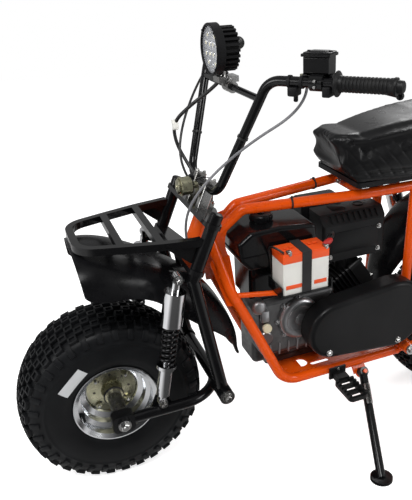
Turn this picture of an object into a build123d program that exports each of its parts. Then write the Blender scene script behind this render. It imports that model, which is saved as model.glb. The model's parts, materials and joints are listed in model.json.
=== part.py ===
"""Fat-tyre utility minibike with a leading-link fork, parked on its side stand.

Built upright in the bike's own axes: x forward from the front axle, y to the rider's left, z up
from the floor under the front wheel. At the end every piece is stood on the floor as it parks.
"""

from build123d import *
from math import asin, atan, cos, degrees, hypot, radians, sin, sqrt
import os

# How it stands
LEAN = 4.5                    # degrees to the left, onto the side stand

# Wheels
TYRE_R = 240                  # to the tips of the lugs
TYRE_HALF = 89
CARCASS = 11                  # thickness of the tyre's wall
LUG_H = 9
LUG_L = 32                    # along the tread
LUG_COUNT = 24                # in each row
LUG_ROWS = ((0, 0, 24), (31, 0.5, 25), (-31, 0.5, 25), (63, 0, 26), (-63, 0, 26))   # y, shift, width
RIM_R = 111
RIM_HALF = 78
RIM_WALL = 3
BEAD_R = 101
AXLE_R = 10
BORE_CLEARANCE = 0.1
WHEELBASE = 1130
HUB_R = 24
HUB_HALF = 44
HUB_FLANGE_R = 66
HUB_FLANGE_Y = 4
WHEEL_BOLT_R = 56               # from the axle to the four wheel bolts
REAR_AXLE_Z = 192

# Steering head and fork
RAKE = 23.7                   # degrees from upright
HEAD_X = -292
HEAD_Z = 688                  # a point on the steering axis
FORK_OFFSET = 37.7            # legs ahead of the steering axis
LEG_Y = 150
LEG_R = 16.5
LEG_TOP = 43.5                # along the steering axis from the head point
LEG_BEND = -126
PIVOT_X = -266
PIVOT_Z = 250
PIVOT_LUG_R = 20
HEAD_TUBE_R = 24
STEM_R = 14.8
STEM_CLEARANCE = 0.3
HEAD_TOP = 10
HEAD_LOW = -96
YOKE_GAP = 0.8
YOKE_T = 12
YOKE_EYE = 4                  # metal round each leg

# Swing arm at the front
ARM_Y = 150
ARM_R = 14
ARM_Z = 240
ARM_BACK = -272
ARM_BEND = 110
AXLE_BLOCK = (56, 32, 48)

# Spring units
SHOCK_Y = 150
SHOCK_TOP = (-168, 603)       # x and z of the front unit's upper bolt
SHOCK_LOW = (-103, 268)
SHOCK_BOLT_R = 6
SHOCK_EYE_R = 12
SHOCK_EYE_W = 24
COVER_R = 27
SPRING_R = 21
SLEEVE_R = 17
REAR_SHOCK_TOP = (-968, 622)
REAR_SHOCK_LOW = (-1098, 232)

# Handlebar
BAR_R = 11
BAR_Z = 772
BAR_X = -297
BAR_HALF_LOW = 98
BAR_UPPER = (-392, 192, 1044)
BAR_END = (-570, 411, 1048)
CROSSBAR_Z = 1003
CROSSBAR_R = 8
GRIP_R = 16.5
GRIP_L = 125
RISER_Y = 38

# Front rack and mudguard
RACK_Z = 684
RACK_TUBE = 18
RACK_OUTLINE = ((48, 0), (48, 88), (-55, 119), (-143, 143), (-234, 160))   # x and half-width
RACK_BARS = (-55, -143)
GUARD_T = 4
GUARD_HALF = 116

# Main frame
TUBE_R = 14
RAIL_Y = 120
RAIL_Z = 195
RAIL_BEND_X = -452
FRAME_PIVOT_X = -858
FRAME_PIVOT_R = 18
TOP_Z = 697
TOP_Y_FRONT = 22
TOP_Y = 76
TOP_SPREAD_X = -720
TOP_END_X = -1265
UPRIGHT_Y = 97
UPRIGHT_X = -880
PIVOT_REAR_Z = 212
PLATE_T = 4
GUSSET_T = 4
GUSSET_Y = 25

# Rear swing arm
REAR_ARM_Y = 142
REAR_ARM_R = 14

# Engine, drive and battery
COVER_Y = 112                 # inner face of the drive cover
COVER_DEPTH = 58
COVER_WALL = 2.5
COVER_ENDS = ((-600, 348, 84), (-790, 350, 104))   # x, z and radius of the drive cover's two ends
BATTERY = (130, 70, 108)
BATTERY_AT = (-502, 133, 552)
TRAY_T = 4

# Seat
SEAT_HALF = 130
SEAT_Z = 742
SEAT_FRONT = -602
SEAT_BACK = -1330

# Side stand
STAND_PIVOT = (-704, 145, 169)
STAND_FOOT = (-621, 385)      # x and y of the foot on the floor
STAND_R = 12
FOOT_R = 30
FOOT_T = 9

GAP = 0.3                     # between pieces that only rest against each other

os.makedirs("parts", exist_ok=True)
pieces = {}


def keep(node, part):
    """Names a finished piece and keeps it for the end."""
    part.label = node
    pieces[node] = part


def both(part):
    """A piece of the left side together with its mirror image."""
    return [part, mirror(part, about=Plane.XZ)]


def group(*parts):
    """Several separate solids as one piece."""
    solids = []
    for part in parts:
        solids += list(part.solids())
    return Compound(children=solids)


def tube(points, radius, bends=()):
    """A round bar along straight runs that are joined by arcs."""
    with BuildPart() as made:
        with BuildLine() as path:
            if bends:
                FilletPolyline(*points, radius=list(bends))
            else:
                Polyline(*points)
        with BuildSketch(Plane(path.line @ 0, z_dir=path.line % 0)):
            Circle(radius)
        sweep()
    return made.part


def bar_along(start, end, radius):
    """A straight round bar between two points."""
    axis = Vector(*end) - Vector(*start)
    with BuildPart() as made:
        with BuildSketch(Plane(start, z_dir=axis)):
            Circle(radius)
        extrude(amount=axis.length)
    return made.part


def lateral(x, z, y0, y1, radius):
    """A round bar across the bike."""
    return bar_along((x, min(y0, y1), z), (x, max(y0, y1), z), radius)


def slab(corner, size, round_r=0):
    """A block from its lowest corner, with its upright edges rounded."""
    with BuildPart() as made:
        with Locations(corner):
            Box(*size, align=(Align.MIN, Align.MIN, Align.MIN))
        if round_r:
            fillet(made.edges().filter_by(Axis.Z), round_r)
    return made.part


def steer(forward, left, up):
    """A point given along the steering axis, in the bike's axes."""
    r = radians(RAKE)
    return (HEAD_X + forward * cos(r) - up * sin(r), left, HEAD_Z + forward * sin(r) + up * cos(r))


def steer_plane(up):
    """The plane across the steering axis, its x pointing forward and its y to the left."""
    r = radians(RAKE)
    return Plane(steer(0, 0, up), x_dir=(cos(r), 0, sin(r)), z_dir=(-sin(r), 0, cos(r)))


# Wheels: a hollow knobby tyre on a stepped alloy rim with a bolted hub
def tyre(x, z):
    """Tyre carcass round an axle, with rows of lugs out to its full size."""
    tread_r = sqrt(TYRE_R ** 2 - (LUG_L / 2) ** 2) - LUG_H
    shoulder_y, shoulder_r = 74, tread_r - 13
    crown = (shoulder_y ** 2 + 13 ** 2) / 26
    places = []
    for lug_y, shift, wide in LUG_ROWS:
        tilt = asin(lug_y / crown)
        at = Location((lug_y, tread_r - crown + crown * cos(tilt), 0), (0, 0, -degrees(tilt)))
        turns = [Location((0, 0, 0), (360 * (i + shift) / LUG_COUNT, 0, 0)) for i in range(LUG_COUNT)]
        places.append((wide, [turn * at for turn in turns]))
    with BuildPart() as made:
        with BuildSketch(Plane.XY):
            with BuildLine():
                Polyline((-60, BEAD_R + GAP), (-71, BEAD_R + GAP), (-75.5, RIM_R + 1))
                ThreePointArc((-75.5, RIM_R + 1), (-TYRE_HALF, 162), (-shoulder_y, shoulder_r))
                ThreePointArc((-shoulder_y, shoulder_r), (0, tread_r), (shoulder_y, shoulder_r))
                ThreePointArc((shoulder_y, shoulder_r), (TYRE_HALF, 162), (75.5, RIM_R + 1))
                Polyline((75.5, RIM_R + 1), (71, BEAD_R + GAP), (60, BEAD_R + GAP))
                ThreePointArc((60, BEAD_R + GAP), (TYRE_HALF - CARCASS, 162), (62, shoulder_r - 14))
                ThreePointArc((62, shoulder_r - 14), (0, tread_r - CARCASS), (-62, shoulder_r - 14))
                ThreePointArc((-62, shoulder_r - 14), (CARCASS - TYRE_HALF, 162), (-60, BEAD_R + GAP))
            make_face()
        revolve(axis=Axis.X)
        for wide, row in places:
            with Locations(*row):
                Box(wide, 2 * LUG_H, LUG_L)
    return across(made.part, x, z)


def across(part, x, z):
    """Turns a piece that was drawn round the X axis onto a wheel's axle."""
    return part.rotate(Axis.Z, 90).moved(Location((x, 0, z)))


def rim(x, z):
    """Split alloy rim: two stepped bowls on one centre disc."""
    outer = ((RIM_HALF, RIM_R), (72, BEAD_R), (46, BEAD_R - 1), (40, 89), (22, 86), (15, 73), (5, 70))
    with BuildPart() as made:
        with BuildSketch(Plane.XY):
            with BuildLine():
                Polyline(
                    *outer,
                    *[(-y, r) for y, r in reversed(outer)],
                    *[(-y, r - RIM_WALL) for y, r in outer[:1]],
                    *[(-y + 1, r - RIM_WALL) for y, r in outer[1:]],
                    (-3, 67),
                    (-3, HUB_R + GAP),
                    (3, HUB_R + GAP),
                    (3, 67),
                    *[(y - 1, r - RIM_WALL) for y, r in reversed(outer[1:])],
                    (RIM_HALF, RIM_R - RIM_WALL),
                    close=True,
                )
            make_face()
        revolve(axis=Axis.X)
    return across(made.part, x, z)


def hub(x, z):
    """Hub barrel with its bolting flange, turning on the axle."""
    with BuildPart() as made:
        with BuildSketch(Plane.XY):
            with BuildLine():
                Polyline(
                    (-HUB_HALF, AXLE_R + BORE_CLEARANCE),
                    (-HUB_HALF, HUB_R),
                    (HUB_FLANGE_Y - 1 + GAP, HUB_R),
                    (HUB_FLANGE_Y - 1 + GAP, HUB_FLANGE_R),
                    (HUB_FLANGE_Y + 3, HUB_FLANGE_R),
                    (HUB_FLANGE_Y + 7, HUB_R + 5),
                    (HUB_HALF, HUB_R),
                    (HUB_HALF, AXLE_R + BORE_CLEARANCE),
                    close=True,
                )
            make_face()
        revolve(axis=Axis.X)
        with BuildSketch(Plane.YZ.offset(HUB_FLANGE_Y + 2)):
            with PolarLocations(WHEEL_BOLT_R, 4, 45):
                RegularPolygon(8, 6)
        extrude(amount=9)
    return across(made.part, x, z)


keep("front_tyre", tyre(0, TYRE_R))
keep("front_rim", rim(0, TYRE_R))
keep("front_hub", hub(0, TYRE_R))
keep("rear_tyre", tyre(-WHEELBASE, REAR_AXLE_Z))
keep("rear_rim", rim(-WHEELBASE, REAR_AXLE_Z))
keep("rear_hub", hub(-WHEELBASE, REAR_AXLE_Z))

# Axles with the long spacers that reach from the hubs to the arms
SPACER_R = 19


def axle(x, z, reach):
    """Through bolt with a spacer at each side of the hub and a head at each end."""
    with BuildPart() as made:
        add(lateral(x, z, -reach - 8, reach + 8, AXLE_R))
        for side in (1, -1):
            add(lateral(x, z, side * (HUB_HALF + GAP), side * (reach - AXLE_BLOCK[1] - GAP), SPACER_R))
            add(lateral(x, z, side * (reach + GAP), side * (reach + 8), AXLE_R + 6))
    return made.part


FRONT_REACH = ARM_Y + AXLE_BLOCK[1] / 2
keep("front_axle", axle(0, TYRE_R, FRONT_REACH))
keep("rear_axle", axle(-WHEELBASE, REAR_AXLE_Z, REAR_ARM_Y + AXLE_BLOCK[1] / 2))


def axle_block(x, y, z):
    """Clamp block at the end of a swing arm."""
    with BuildPart() as made:
        with Locations((x, y, z)):
            Box(*AXLE_BLOCK)
        fillet(made.edges().filter_by(Axis.Y), 14)
        add(lateral(x, z, y - AXLE_BLOCK[1], y + AXLE_BLOCK[1], AXLE_R + BORE_CLEARANCE), mode=Mode.SUBTRACT)
    return made.part


# Leading swing arm: one tube bent round behind the wheel, with its pivot sleeve and shock lugs
BLOCK_BACK = AXLE_BLOCK[0] / 2 - 4
with BuildPart() as front_arm:
    add(
        tube(
            (
                (-BLOCK_BACK, ARM_Y, ARM_Z),
                (ARM_BACK, ARM_Y, ARM_Z),
                (ARM_BACK, -ARM_Y, ARM_Z),
                (-BLOCK_BACK, -ARM_Y, ARM_Z),
            ),
            ARM_R,
            (ARM_BEND, ARM_BEND),
        )
    )
    add(lateral(PIVOT_X, PIVOT_Z, -LEG_Y + 20, LEG_Y - 20, 16))
    for side in (1, -1):
        add(axle_block(0, side * ARM_Y, TYRE_R))
        with BuildSketch(Plane.XZ.offset(-side * (SHOCK_Y - SHOCK_EYE_W / 2 - 3.5))):
            with BuildLine():
                Polyline(
                    (SHOCK_LOW[0] - 30, ARM_Z),
                    (SHOCK_LOW[0] + 30, ARM_Z),
                    (SHOCK_LOW[0] + 12, SHOCK_LOW[1] + 10),
                    (SHOCK_LOW[0] - 12, SHOCK_LOW[1] + 10),
                    close=True,
                )
            make_face()
        extrude(amount=3, both=True)
        add(lateral(SHOCK_LOW[0], SHOCK_LOW[1], side * (SHOCK_Y - 40), side * (SHOCK_Y + 40), SHOCK_BOLT_R + 0.1), mode=Mode.SUBTRACT)
    add(lateral(PIVOT_X, PIVOT_Z, -LEG_Y, LEG_Y, AXLE_R + BORE_CLEARANCE), mode=Mode.SUBTRACT)
keep("front_swing_arm", front_arm.part)

with BuildPart() as fork_pivot:
    add(lateral(PIVOT_X, PIVOT_Z, -LEG_Y - 38, LEG_Y + 38, AXLE_R))
    for side in (1, -1):
        add(lateral(PIVOT_X, PIVOT_Z, side * (LEG_Y + 33 + GAP), side * (LEG_Y + 38), PIVOT_LUG_R))
keep("fork_pivot_bolt", fork_pivot.part)


# Fork legs: round tube with one bend, ending in the pivot lug
def fork_leg(side):
    """One leg with its pivot lug and the plate that carries the spring unit."""
    top = steer(FORK_OFFSET, side * LEG_Y, LEG_TOP)
    bend = steer(FORK_OFFSET, side * LEG_Y, LEG_BEND)
    foot = (PIVOT_X, side * LEG_Y, PIVOT_Z)
    down = Vector(*foot) - Vector(*bend)
    with BuildPart() as made:
        add(bar_along(top, bend, LEG_R))
        with Locations(bend):
            Sphere(LEG_R)
        with BuildSketch(Plane(bend, x_dir=(0, 1, 0), z_dir=down)):
            Circle(LEG_R)
        extrude(amount=down.length)
        add(lateral(PIVOT_X, PIVOT_Z, side * (LEG_Y - 16), side * (LEG_Y + 33), PIVOT_LUG_R))
        add(lateral(PIVOT_X, PIVOT_Z, side * (LEG_Y - 60), side * (LEG_Y - 19.5), PIVOT_LUG_R + 4), mode=Mode.SUBTRACT)
        with BuildSketch(Plane.XZ.offset(-side * (SHOCK_Y - SHOCK_EYE_W / 2 - 5))):
            with BuildLine():
                Polyline(
                    (SHOCK_TOP[0] + 12, SHOCK_TOP[1] + 14),
                    (SHOCK_TOP[0] + 12, SHOCK_TOP[1] - 10),
                    (bend[0], bend[2] - 16),
                    (bend[0] - 12, bend[2] + 8),
                    close=True,
                )
            make_face()
        extrude(amount=4, both=True)
        add(lateral(SHOCK_TOP[0], SHOCK_TOP[1], side * (SHOCK_Y - 40), side * (SHOCK_Y + 20), SHOCK_BOLT_R + 0.1), mode=Mode.SUBTRACT)
        add(lateral(PIVOT_X, PIVOT_Z, side * (LEG_Y - 30), side * (LEG_Y + 40), AXLE_R + BORE_CLEARANCE), mode=Mode.SUBTRACT)
    return made.part


left_leg = fork_leg(1)
right_leg = fork_leg(-1)
keep("fork_legs", group(left_leg, right_leg))


# Yokes: flat plates across the steering axis that carry the legs
def yoke(up):
    """One yoke plate, bored for the legs and the steering stem."""
    with BuildPart() as made:
        with BuildSketch(steer_plane(up)) as outline:
            with Locations((FORK_OFFSET, LEG_Y), (FORK_OFFSET, -LEG_Y)):
                Circle(LEG_R + YOKE_EYE)
            with Locations((0, 0)):
                Circle(27)
            make_hull()
            with Locations((FORK_OFFSET, LEG_Y), (FORK_OFFSET, -LEG_Y)):
                Circle(LEG_R + BORE_CLEARANCE, mode=Mode.SUBTRACT)
            Circle(STEM_R + BORE_CLEARANCE, mode=Mode.SUBTRACT)
        extrude(amount=YOKE_T)
    return made.part


UPPER_YOKE = HEAD_TOP + YOKE_GAP
LOWER_YOKE = HEAD_LOW - YOKE_GAP - YOKE_T
upper_yoke = yoke(UPPER_YOKE)
lower_yoke = yoke(LOWER_YOKE)

with BuildPart() as stem:
    add(bar_along(steer(0, 0, LOWER_YOKE - 8), steer(0, 0, UPPER_YOKE + YOKE_T + 18), STEM_R))
    with BuildSketch(steer_plane(UPPER_YOKE + YOKE_T + GAP)):
        RegularPolygon(20, 6)
    extrude(amount=12)
    with BuildSketch(steer_plane(LOWER_YOKE - 8)):
        Circle(22)
    extrude(amount=8 - GAP)
keep("steering_stem", stem.part)

# Handlebar: high bar with a cross brace, held in two risers on the upper yoke
bar_upper_r = (BAR_UPPER[0], -BAR_UPPER[1], BAR_UPPER[2])
bar_end_r = (BAR_END[0], -BAR_END[1], BAR_END[2])
brace = (CROSSBAR_Z - BAR_Z) / (BAR_UPPER[2] - BAR_Z)
brace_x = BAR_X + brace * (BAR_UPPER[0] - BAR_X)
brace_y = BAR_HALF_LOW + brace * (BAR_UPPER[1] - BAR_HALF_LOW)
with BuildPart() as handlebar:
    add(
        tube(
            (
                BAR_END,
                BAR_UPPER,
                (BAR_X, BAR_HALF_LOW, BAR_Z),
                (BAR_X, -BAR_HALF_LOW, BAR_Z),
                bar_upper_r,
                bar_end_r,
            ),
            BAR_R,
            (45, 55, 55, 45),
        )
    )
    add(lateral(brace_x, CROSSBAR_Z, -brace_y, brace_y, CROSSBAR_R))
keep("handlebar", handlebar.part)

yoke_top = UPPER_YOKE + YOKE_T
bar_forward = (BAR_X - HEAD_X) * cos(radians(RAKE)) + (BAR_Z - HEAD_Z) * sin(radians(RAKE))
bar_up = (BAR_Z - HEAD_Z) * cos(radians(RAKE)) - (BAR_X - HEAD_X) * sin(radians(RAKE))
with BuildPart() as risers:
    for side in (1, -1):
        with BuildSketch(steer_plane(yoke_top + GAP)):
            with Locations((bar_forward, side * RISER_Y)):
                RectangleRounded(28, 22, 4)
        extrude(amount=bar_up + BAR_R + 7 - yoke_top)
    add(lateral(BAR_X, BAR_Z, -80, 80, BAR_R + BORE_CLEARANCE), mode=Mode.SUBTRACT)
keep("handlebar_risers", risers.part)

# Grips and controls, placed along the outer run of the bar
GRIP_AXIS = (Vector(*BAR_END) - Vector(*BAR_UPPER)).normalized()


def on_bar(distance, side=1):
    """A point on the bar's outer run, measured in from its end."""
    p = Vector(*BAR_END) - GRIP_AXIS * distance
    return (p.X, side * p.Y, p.Z)


def bar_plane(distance, side=1):
    """The plane across the bar's outer run, its y pointing up."""
    z_dir = Vector(GRIP_AXIS.X, side * GRIP_AXIS.Y, GRIP_AXIS.Z)
    level = z_dir.cross(Vector(0, 0, 1)) * -1
    return Plane(on_bar(distance, side), x_dir=level, z_dir=z_dir)


def grip(side):
    """Rubber grip with a thumb flange, closed over the bar's end."""
    with BuildPart() as made:
        with BuildSketch(bar_plane(GRIP_L, side)):
            Circle(GRIP_R)
        extrude(amount=GRIP_L + 4)
        with BuildSketch(bar_plane(GRIP_L + 4, side)):
            Circle(GRIP_R + 10)
        extrude(amount=5)
        with BuildSketch(bar_plane(-4, side)):
            Circle(GRIP_R - 5)
        extrude(amount=14)
        with BuildSketch(bar_plane(GRIP_L + 6, side)):
            Circle(BAR_R + BORE_CLEARANCE)
        extrude(amount=GRIP_L + 6 + GAP, mode=Mode.SUBTRACT)
    return made.part


keep("grips", group(grip(1), grip(-1)))

CLAMP_AT = GRIP_L + 45        # middle of the lever clamp, in from the bar's end
with BuildPart() as master_cylinder:
    with BuildSketch(bar_plane(CLAMP_AT + 14)):
        Circle(BAR_R + 6)
    extrude(amount=28)
    with BuildSketch(bar_plane(CLAMP_AT + 40)):
        with Locations((26, 4)):
            RectangleRounded(24, 24, 6)
    extrude(amount=66)
    with BuildSketch(bar_plane(CLAMP_AT + 34)):
        with Locations((24, 33)):
            RectangleRounded(40, 36, 5)
    extrude(amount=56)
    with BuildSketch(bar_plane(CLAMP_AT + 38)):
        with Locations((24, 53)):
            RectangleRounded(46, 6, 2)
    extrude(amount=64)
    with BuildSketch(bar_plane(CLAMP_AT + 100)):
        Circle(BAR_R + BORE_CLEARANCE)
    extrude(amount=200, mode=Mode.SUBTRACT)
keep("brake_master", master_cylinder.part)


def bar_point(distance, across_bar, above, side=1):
    """A point beside the bar: in from its end, level ahead of it, and above it."""
    plane = bar_plane(distance, side)
    p = plane.origin + plane.x_dir * across_bar + plane.y_dir * above
    return (p.X, p.Y, p.Z)


lever_points = (
    bar_point(CLAMP_AT - 27, 30, -16),
    bar_point(CLAMP_AT - 60, 52, -18),
    bar_point(60, 56, -20),
    bar_point(8, 34, -24),
)
with BuildPart() as lever:
    add(tube(lever_points, 5, (25, 60)))
    with Locations(lever_points[-1]):
        Sphere(8.5)
    with Locations(lever_points[0]):
        Sphere(8)
keep("brake_lever", lever.part - master_cylinder.part)

with BuildPart() as throttle:
    with BuildSketch(bar_plane(GRIP_L + 34, -1)):
        Circle(22)
    extrude(amount=24)
    fillet(throttle.edges(), 3)
    with BuildSketch(bar_plane(GRIP_L + 60, -1)):
        Circle(BAR_R + BORE_CLEARANCE)
    extrude(amount=100, mode=Mode.SUBTRACT)
keep("throttle_housing", throttle.part)

# Work lamp on a bracket at the middle of the cross brace
LAMP_R = 59
LAMP_AT = (-350, 0, 1090)
with BuildPart() as lamp:
    with BuildSketch(Plane.YZ.offset(LAMP_AT[0])):
        with Locations((0, LAMP_AT[2])):
            Circle(LAMP_R)
    extrude(amount=20)
    with BuildSketch(Plane.YZ.offset(LAMP_AT[0] + 14)):
        with Locations((0, LAMP_AT[2])):
            Circle(LAMP_R - 6)
    extrude(amount=6, mode=Mode.SUBTRACT)
    with BuildSketch(Plane.YZ.offset(LAMP_AT[0] - 38)):
        with Locations((0, LAMP_AT[2])):
            Circle(LAMP_R - 16)
            with PolarLocations(LAMP_R - 15, 24):
                Rectangle(14, 6)
    extrude(amount=38)
keep("lamp_body", lamp.part)

with BuildPart() as lens:
    with BuildSketch(Plane.YZ.offset(LAMP_AT[0] + 14 + GAP)):
        with Locations((0, LAMP_AT[2])):
            Circle(LAMP_R - 6 - GAP)
    extrude(amount=3)
keep("lamp_lens", lens.part)

with BuildPart() as lamp_bracket:
    with BuildSketch(Plane.XZ.offset(-20)):
        with BuildLine():
            Polyline((brace_x - 16, CROSSBAR_Z + 12), (brace_x + 34, CROSSBAR_Z + 12),
                     (brace_x + 34, CROSSBAR_Z + 26), (brace_x - 16, CROSSBAR_Z + 26), close=True)
        make_face()
    extrude(amount=40)
    add(lateral(brace_x, CROSSBAR_Z, -20, 20, CROSSBAR_R + 6))
    add(lateral(brace_x, CROSSBAR_Z, -30, 30, CROSSBAR_R + BORE_CLEARANCE), mode=Mode.SUBTRACT)
    add(bar_along((LAMP_AT[0] - 10, 0, CROSSBAR_Z + 20), (LAMP_AT[0] - 10, 0, LAMP_AT[2] - LAMP_R + 16), 9))
    add(lamp.part, mode=Mode.SUBTRACT)
keep("lamp_bracket", lamp_bracket.part)

# Front rack: square tube bent to a rounded nose, with two bars and side gussets
with BuildPart() as rack:
    with BuildSketch(Plane.XY.offset(RACK_Z - RACK_TUBE / 2)) as rack_plan:
        with BuildLine():
            Polyline(*RACK_OUTLINE[1:], *[(x, -y) for x, y in reversed(RACK_OUTLINE[1:])], close=True)
        make_face()
        nose = rack_plan.vertices().sort_by(Axis.X)[-2:]
        fillet(nose, 62)
        offset(amount=-RACK_TUBE, mode=Mode.SUBTRACT)
        for x in RACK_BARS:
            with Locations((x, 0)):
                Rectangle(RACK_TUBE, 220 if x > -100 else 262)
        with Locations((RACK_OUTLINE[-1][0], 0)):
            Rectangle(2 * RACK_TUBE + 1, 2 * (LEG_Y - 11), mode=Mode.SUBTRACT)
    extrude(amount=RACK_TUBE)
    for side in (1, -1):
        with BuildSketch(Plane.XZ.offset(-side * (LEG_Y - 4))):
            with BuildLine():
                Polyline((-150, RACK_Z - 4), (-228, RACK_Z - 4), (-214, RACK_Z - 56), (-204, RACK_Z - 50), close=True)
            make_face()
        extrude(amount=1.5, both=True)
    for side in (1, -1):
        add(bar_along(steer(FORK_OFFSET, side * LEG_Y, LEG_TOP + 40), steer(FORK_OFFSET, side * LEG_Y, LEG_BEND), LEG_R + GAP), mode=Mode.SUBTRACT)
    add(left_leg, mode=Mode.SUBTRACT)
    add(right_leg, mode=Mode.SUBTRACT)
keep("front_rack", rack.part)


# Mudguards: an arched sheet through a row of stations
def guard(stations):
    """Sheet through stations of crown x, crown z, edge x, edge z and half-width."""
    with BuildPart() as made:
        for crown_x, crown_z, edge_x, edge_z, half in stations:
            rise = hypot(crown_x - edge_x, crown_z - edge_z)
            up = Vector(crown_x - edge_x, 0, crown_z - edge_z)
            with BuildSketch(Plane((edge_x, 0, edge_z), x_dir=(0, 1, 0), z_dir=Vector(0, 1, 0).cross(up))):
                with BuildLine():
                    Spline((-half, 0), (-half * 0.84, rise * 0.62), (0, rise), (half * 0.84, rise * 0.62), (half, 0))
                    Line((half, 0), (half - GUARD_T, 0))
                    Spline(
                        (half - GUARD_T, 0),
                        (half * 0.84 - GUARD_T * 0.8, rise * 0.62 - GUARD_T * 0.6),
                        (0, rise - GUARD_T),
                        (GUARD_T * 0.8 - half * 0.84, rise * 0.62 - GUARD_T * 0.6),
                        (GUARD_T - half, 0),
                    )
                    Line((GUARD_T - half, 0), (-half, 0))
                make_face()
        loft()
    return made.part


# crown x and z, edge x and z, half-width
FRONT_GUARD = (
    (52, 668, 44, 592, GUARD_HALF + 16),
    (-60, 652, -46, 564, GUARD_HALF + 15),
    (-160, 600, -128, 528, GUARD_HALF + 1),
    (-265, 518, -200, 462, GUARD_HALF),
    (-327, 418, -276, 398, GUARD_HALF - 5),
    (-352, 330, -330, 322, 72),
    (-366, 262, -360, 261, 30),
)
REAR_GUARD = (
    (-812, 368, -822, 366, 36),
    (-828, 450, -854, 438, 62),
    (-874, 548, -912, 510, 84),
    (-975, 622, -1000, 554, GUARD_HALF - 10),
    (-1110, 642, -1110, 574, GUARD_HALF - 8),
    (-1255, 598, -1235, 534, GUARD_HALF - 8),
    (-1390, 446, -1356, 406, GUARD_HALF - 8),
)
front_guard = guard(FRONT_GUARD)
keep("front_guard", front_guard)
rear_guard = guard(REAR_GUARD)
keep("rear_guard", rear_guard)

with BuildPart() as guard_stay:
    add(lower_yoke)
    add(bar_along(steer(40, 0, LOWER_YOKE + 3), (-222, 0, 540), 9))
    add(front_guard, mode=Mode.SUBTRACT)
keep("yokes", group(upper_yoke, guard_stay.part.solids().sort_by(SortBy.VOLUME)[-1]))


# Spring units: a chrome cover over the spring and a chrome sleeve below it
def place_unit(top, low, y):
    """The plane at a unit's upper bolt, its z pointing down along the unit."""
    return Plane((top[0], y, top[1]), x_dir=(0, 1, 0), z_dir=(low[0] - top[0], 0, low[1] - top[1]))


def damper(top, low, y):
    """Eyes, cover, rod and lower sleeve of one unit."""
    length = hypot(low[0] - top[0], low[1] - top[1])
    base = place_unit(top, low, y)
    with BuildPart() as made:
        for at, radius, long in (
            (10, 11.5, 26),
            (34, COVER_R, 90),
            (34, 9, length - 50),
            (length - 100, SLEEVE_R, 80),
            (length - 24, 11.5, 16),
            (length - 108, SPRING_R + 4, 9),
        ):
            with BuildSketch(base.offset(at)):
                Circle(radius)
            extrude(amount=long)
        for x, z in (top, low):
            add(lateral(x, z, y - SHOCK_EYE_W / 2, y + SHOCK_EYE_W / 2, SHOCK_EYE_R))
            add(lateral(x, z, y - SHOCK_EYE_W, y + SHOCK_EYE_W, SHOCK_BOLT_R + 0.1), mode=Mode.SUBTRACT)
    return made.part


def spring(top, low, y):
    """A unit's spring, wound from round wire."""
    length = hypot(low[0] - top[0], low[1] - top[1])
    start, end = 124 + 4.8, length - 108 - 4.8
    wire = Helix(pitch=(end - start) / 7, height=end - start, radius=SPRING_R - 4.5)
    section = Plane(wire @ 0, z_dir=wire % 0) * Circle(4.5)
    made = sweep(section, path=wire, is_frenet=True)
    return made.moved(place_unit(top, low, y).offset(start).location)


def unit_bolt(x, z, y):
    """Bolt through an eye and the plate beside it."""
    side = 1 if y > 0 else -1
    with BuildPart() as made:
        add(lateral(x, z, y - side * (SHOCK_EYE_W / 2 + 12), y + side * (SHOCK_EYE_W / 2 + 6), SHOCK_BOLT_R))
        add(lateral(x, z, y + side * (SHOCK_EYE_W / 2 + GAP), y + side * (SHOCK_EYE_W / 2 + 8), 10))
    return made.part


for end, top, low in (("front", SHOCK_TOP, SHOCK_LOW), ("rear", REAR_SHOCK_TOP, REAR_SHOCK_LOW)):
    keep(f"{end}_dampers", group(damper(top, low, SHOCK_Y), damper(top, low, -SHOCK_Y)))
    keep(f"{end}_springs", group(spring(top, low, SHOCK_Y), spring(top, low, -SHOCK_Y)))
    bolts = [unit_bolt(x, z, y) for x, z in (top, low) for y in (SHOCK_Y, -SHOCK_Y)]
    keep(f"{end}_damper_bolts", group(*bolts))

# Horn on the upper yoke, facing forward
HORN_AT = (-262, 772)
HORN_R = 23
with BuildPart() as horn:
    add(bar_along((HORN_AT[0], 0, HORN_AT[1]), (HORN_AT[0] + 26, 0, HORN_AT[1]), HORN_R))
    add(bar_along((HORN_AT[0] + 26, 0, HORN_AT[1]), (HORN_AT[0] + 32, 0, HORN_AT[1]), HORN_R - 4))
    add(bar_along((HORN_AT[0] - 16, 0, HORN_AT[1]), (HORN_AT[0], 0, HORN_AT[1]), 9))
    add(slab((HORN_AT[0] - 19, -9, HORN_AT[1] - 70), (4, 18, 74)))
    add(upper_yoke, mode=Mode.SUBTRACT)
keep("horn", horn.part.solids().sort_by(SortBy.VOLUME)[-1])

# Brake hose, clipped to the bar and down in front of the head
hose_points = (
    bar_point(CLAMP_AT + 36, 30, -8),
    bar_point(CLAMP_AT + 40, 44, -60),
    (-335, 172, 900),
    (-250, 110, 800),
    (-212, 84, 712),
    (-226, 60, 650),
)
with BuildPart() as hose:
    add(tube(hose_points, 3.2, (22, 40, 60, 40)))
keep("brake_hose", hose.part - master_cylinder.part)


# Main frame: twin cradle with top tubes, head gussets and pivot bosses
def plate(points, thickness):
    """A flat plate whose plane is set by its first three corners."""
    a, b, c = [Vector(*p) for p in points[:3]]
    plane = Plane(a, x_dir=b - a, z_dir=(b - a).cross(c - a))
    flat = [plane.to_local_coords(Vector(*p)) for p in points]
    with BuildPart() as made:
        with BuildSketch(plane):
            with BuildLine():
                Polyline(*[(p.X, p.Y) for p in flat], close=True)
            make_face()
        extrude(amount=thickness / 2, both=True)
    return made.part


stand_pivot = Vector(*STAND_PIVOT)
STAND_AXIS = Vector(-0.15, 0.752, 0.642).normalized()

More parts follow.
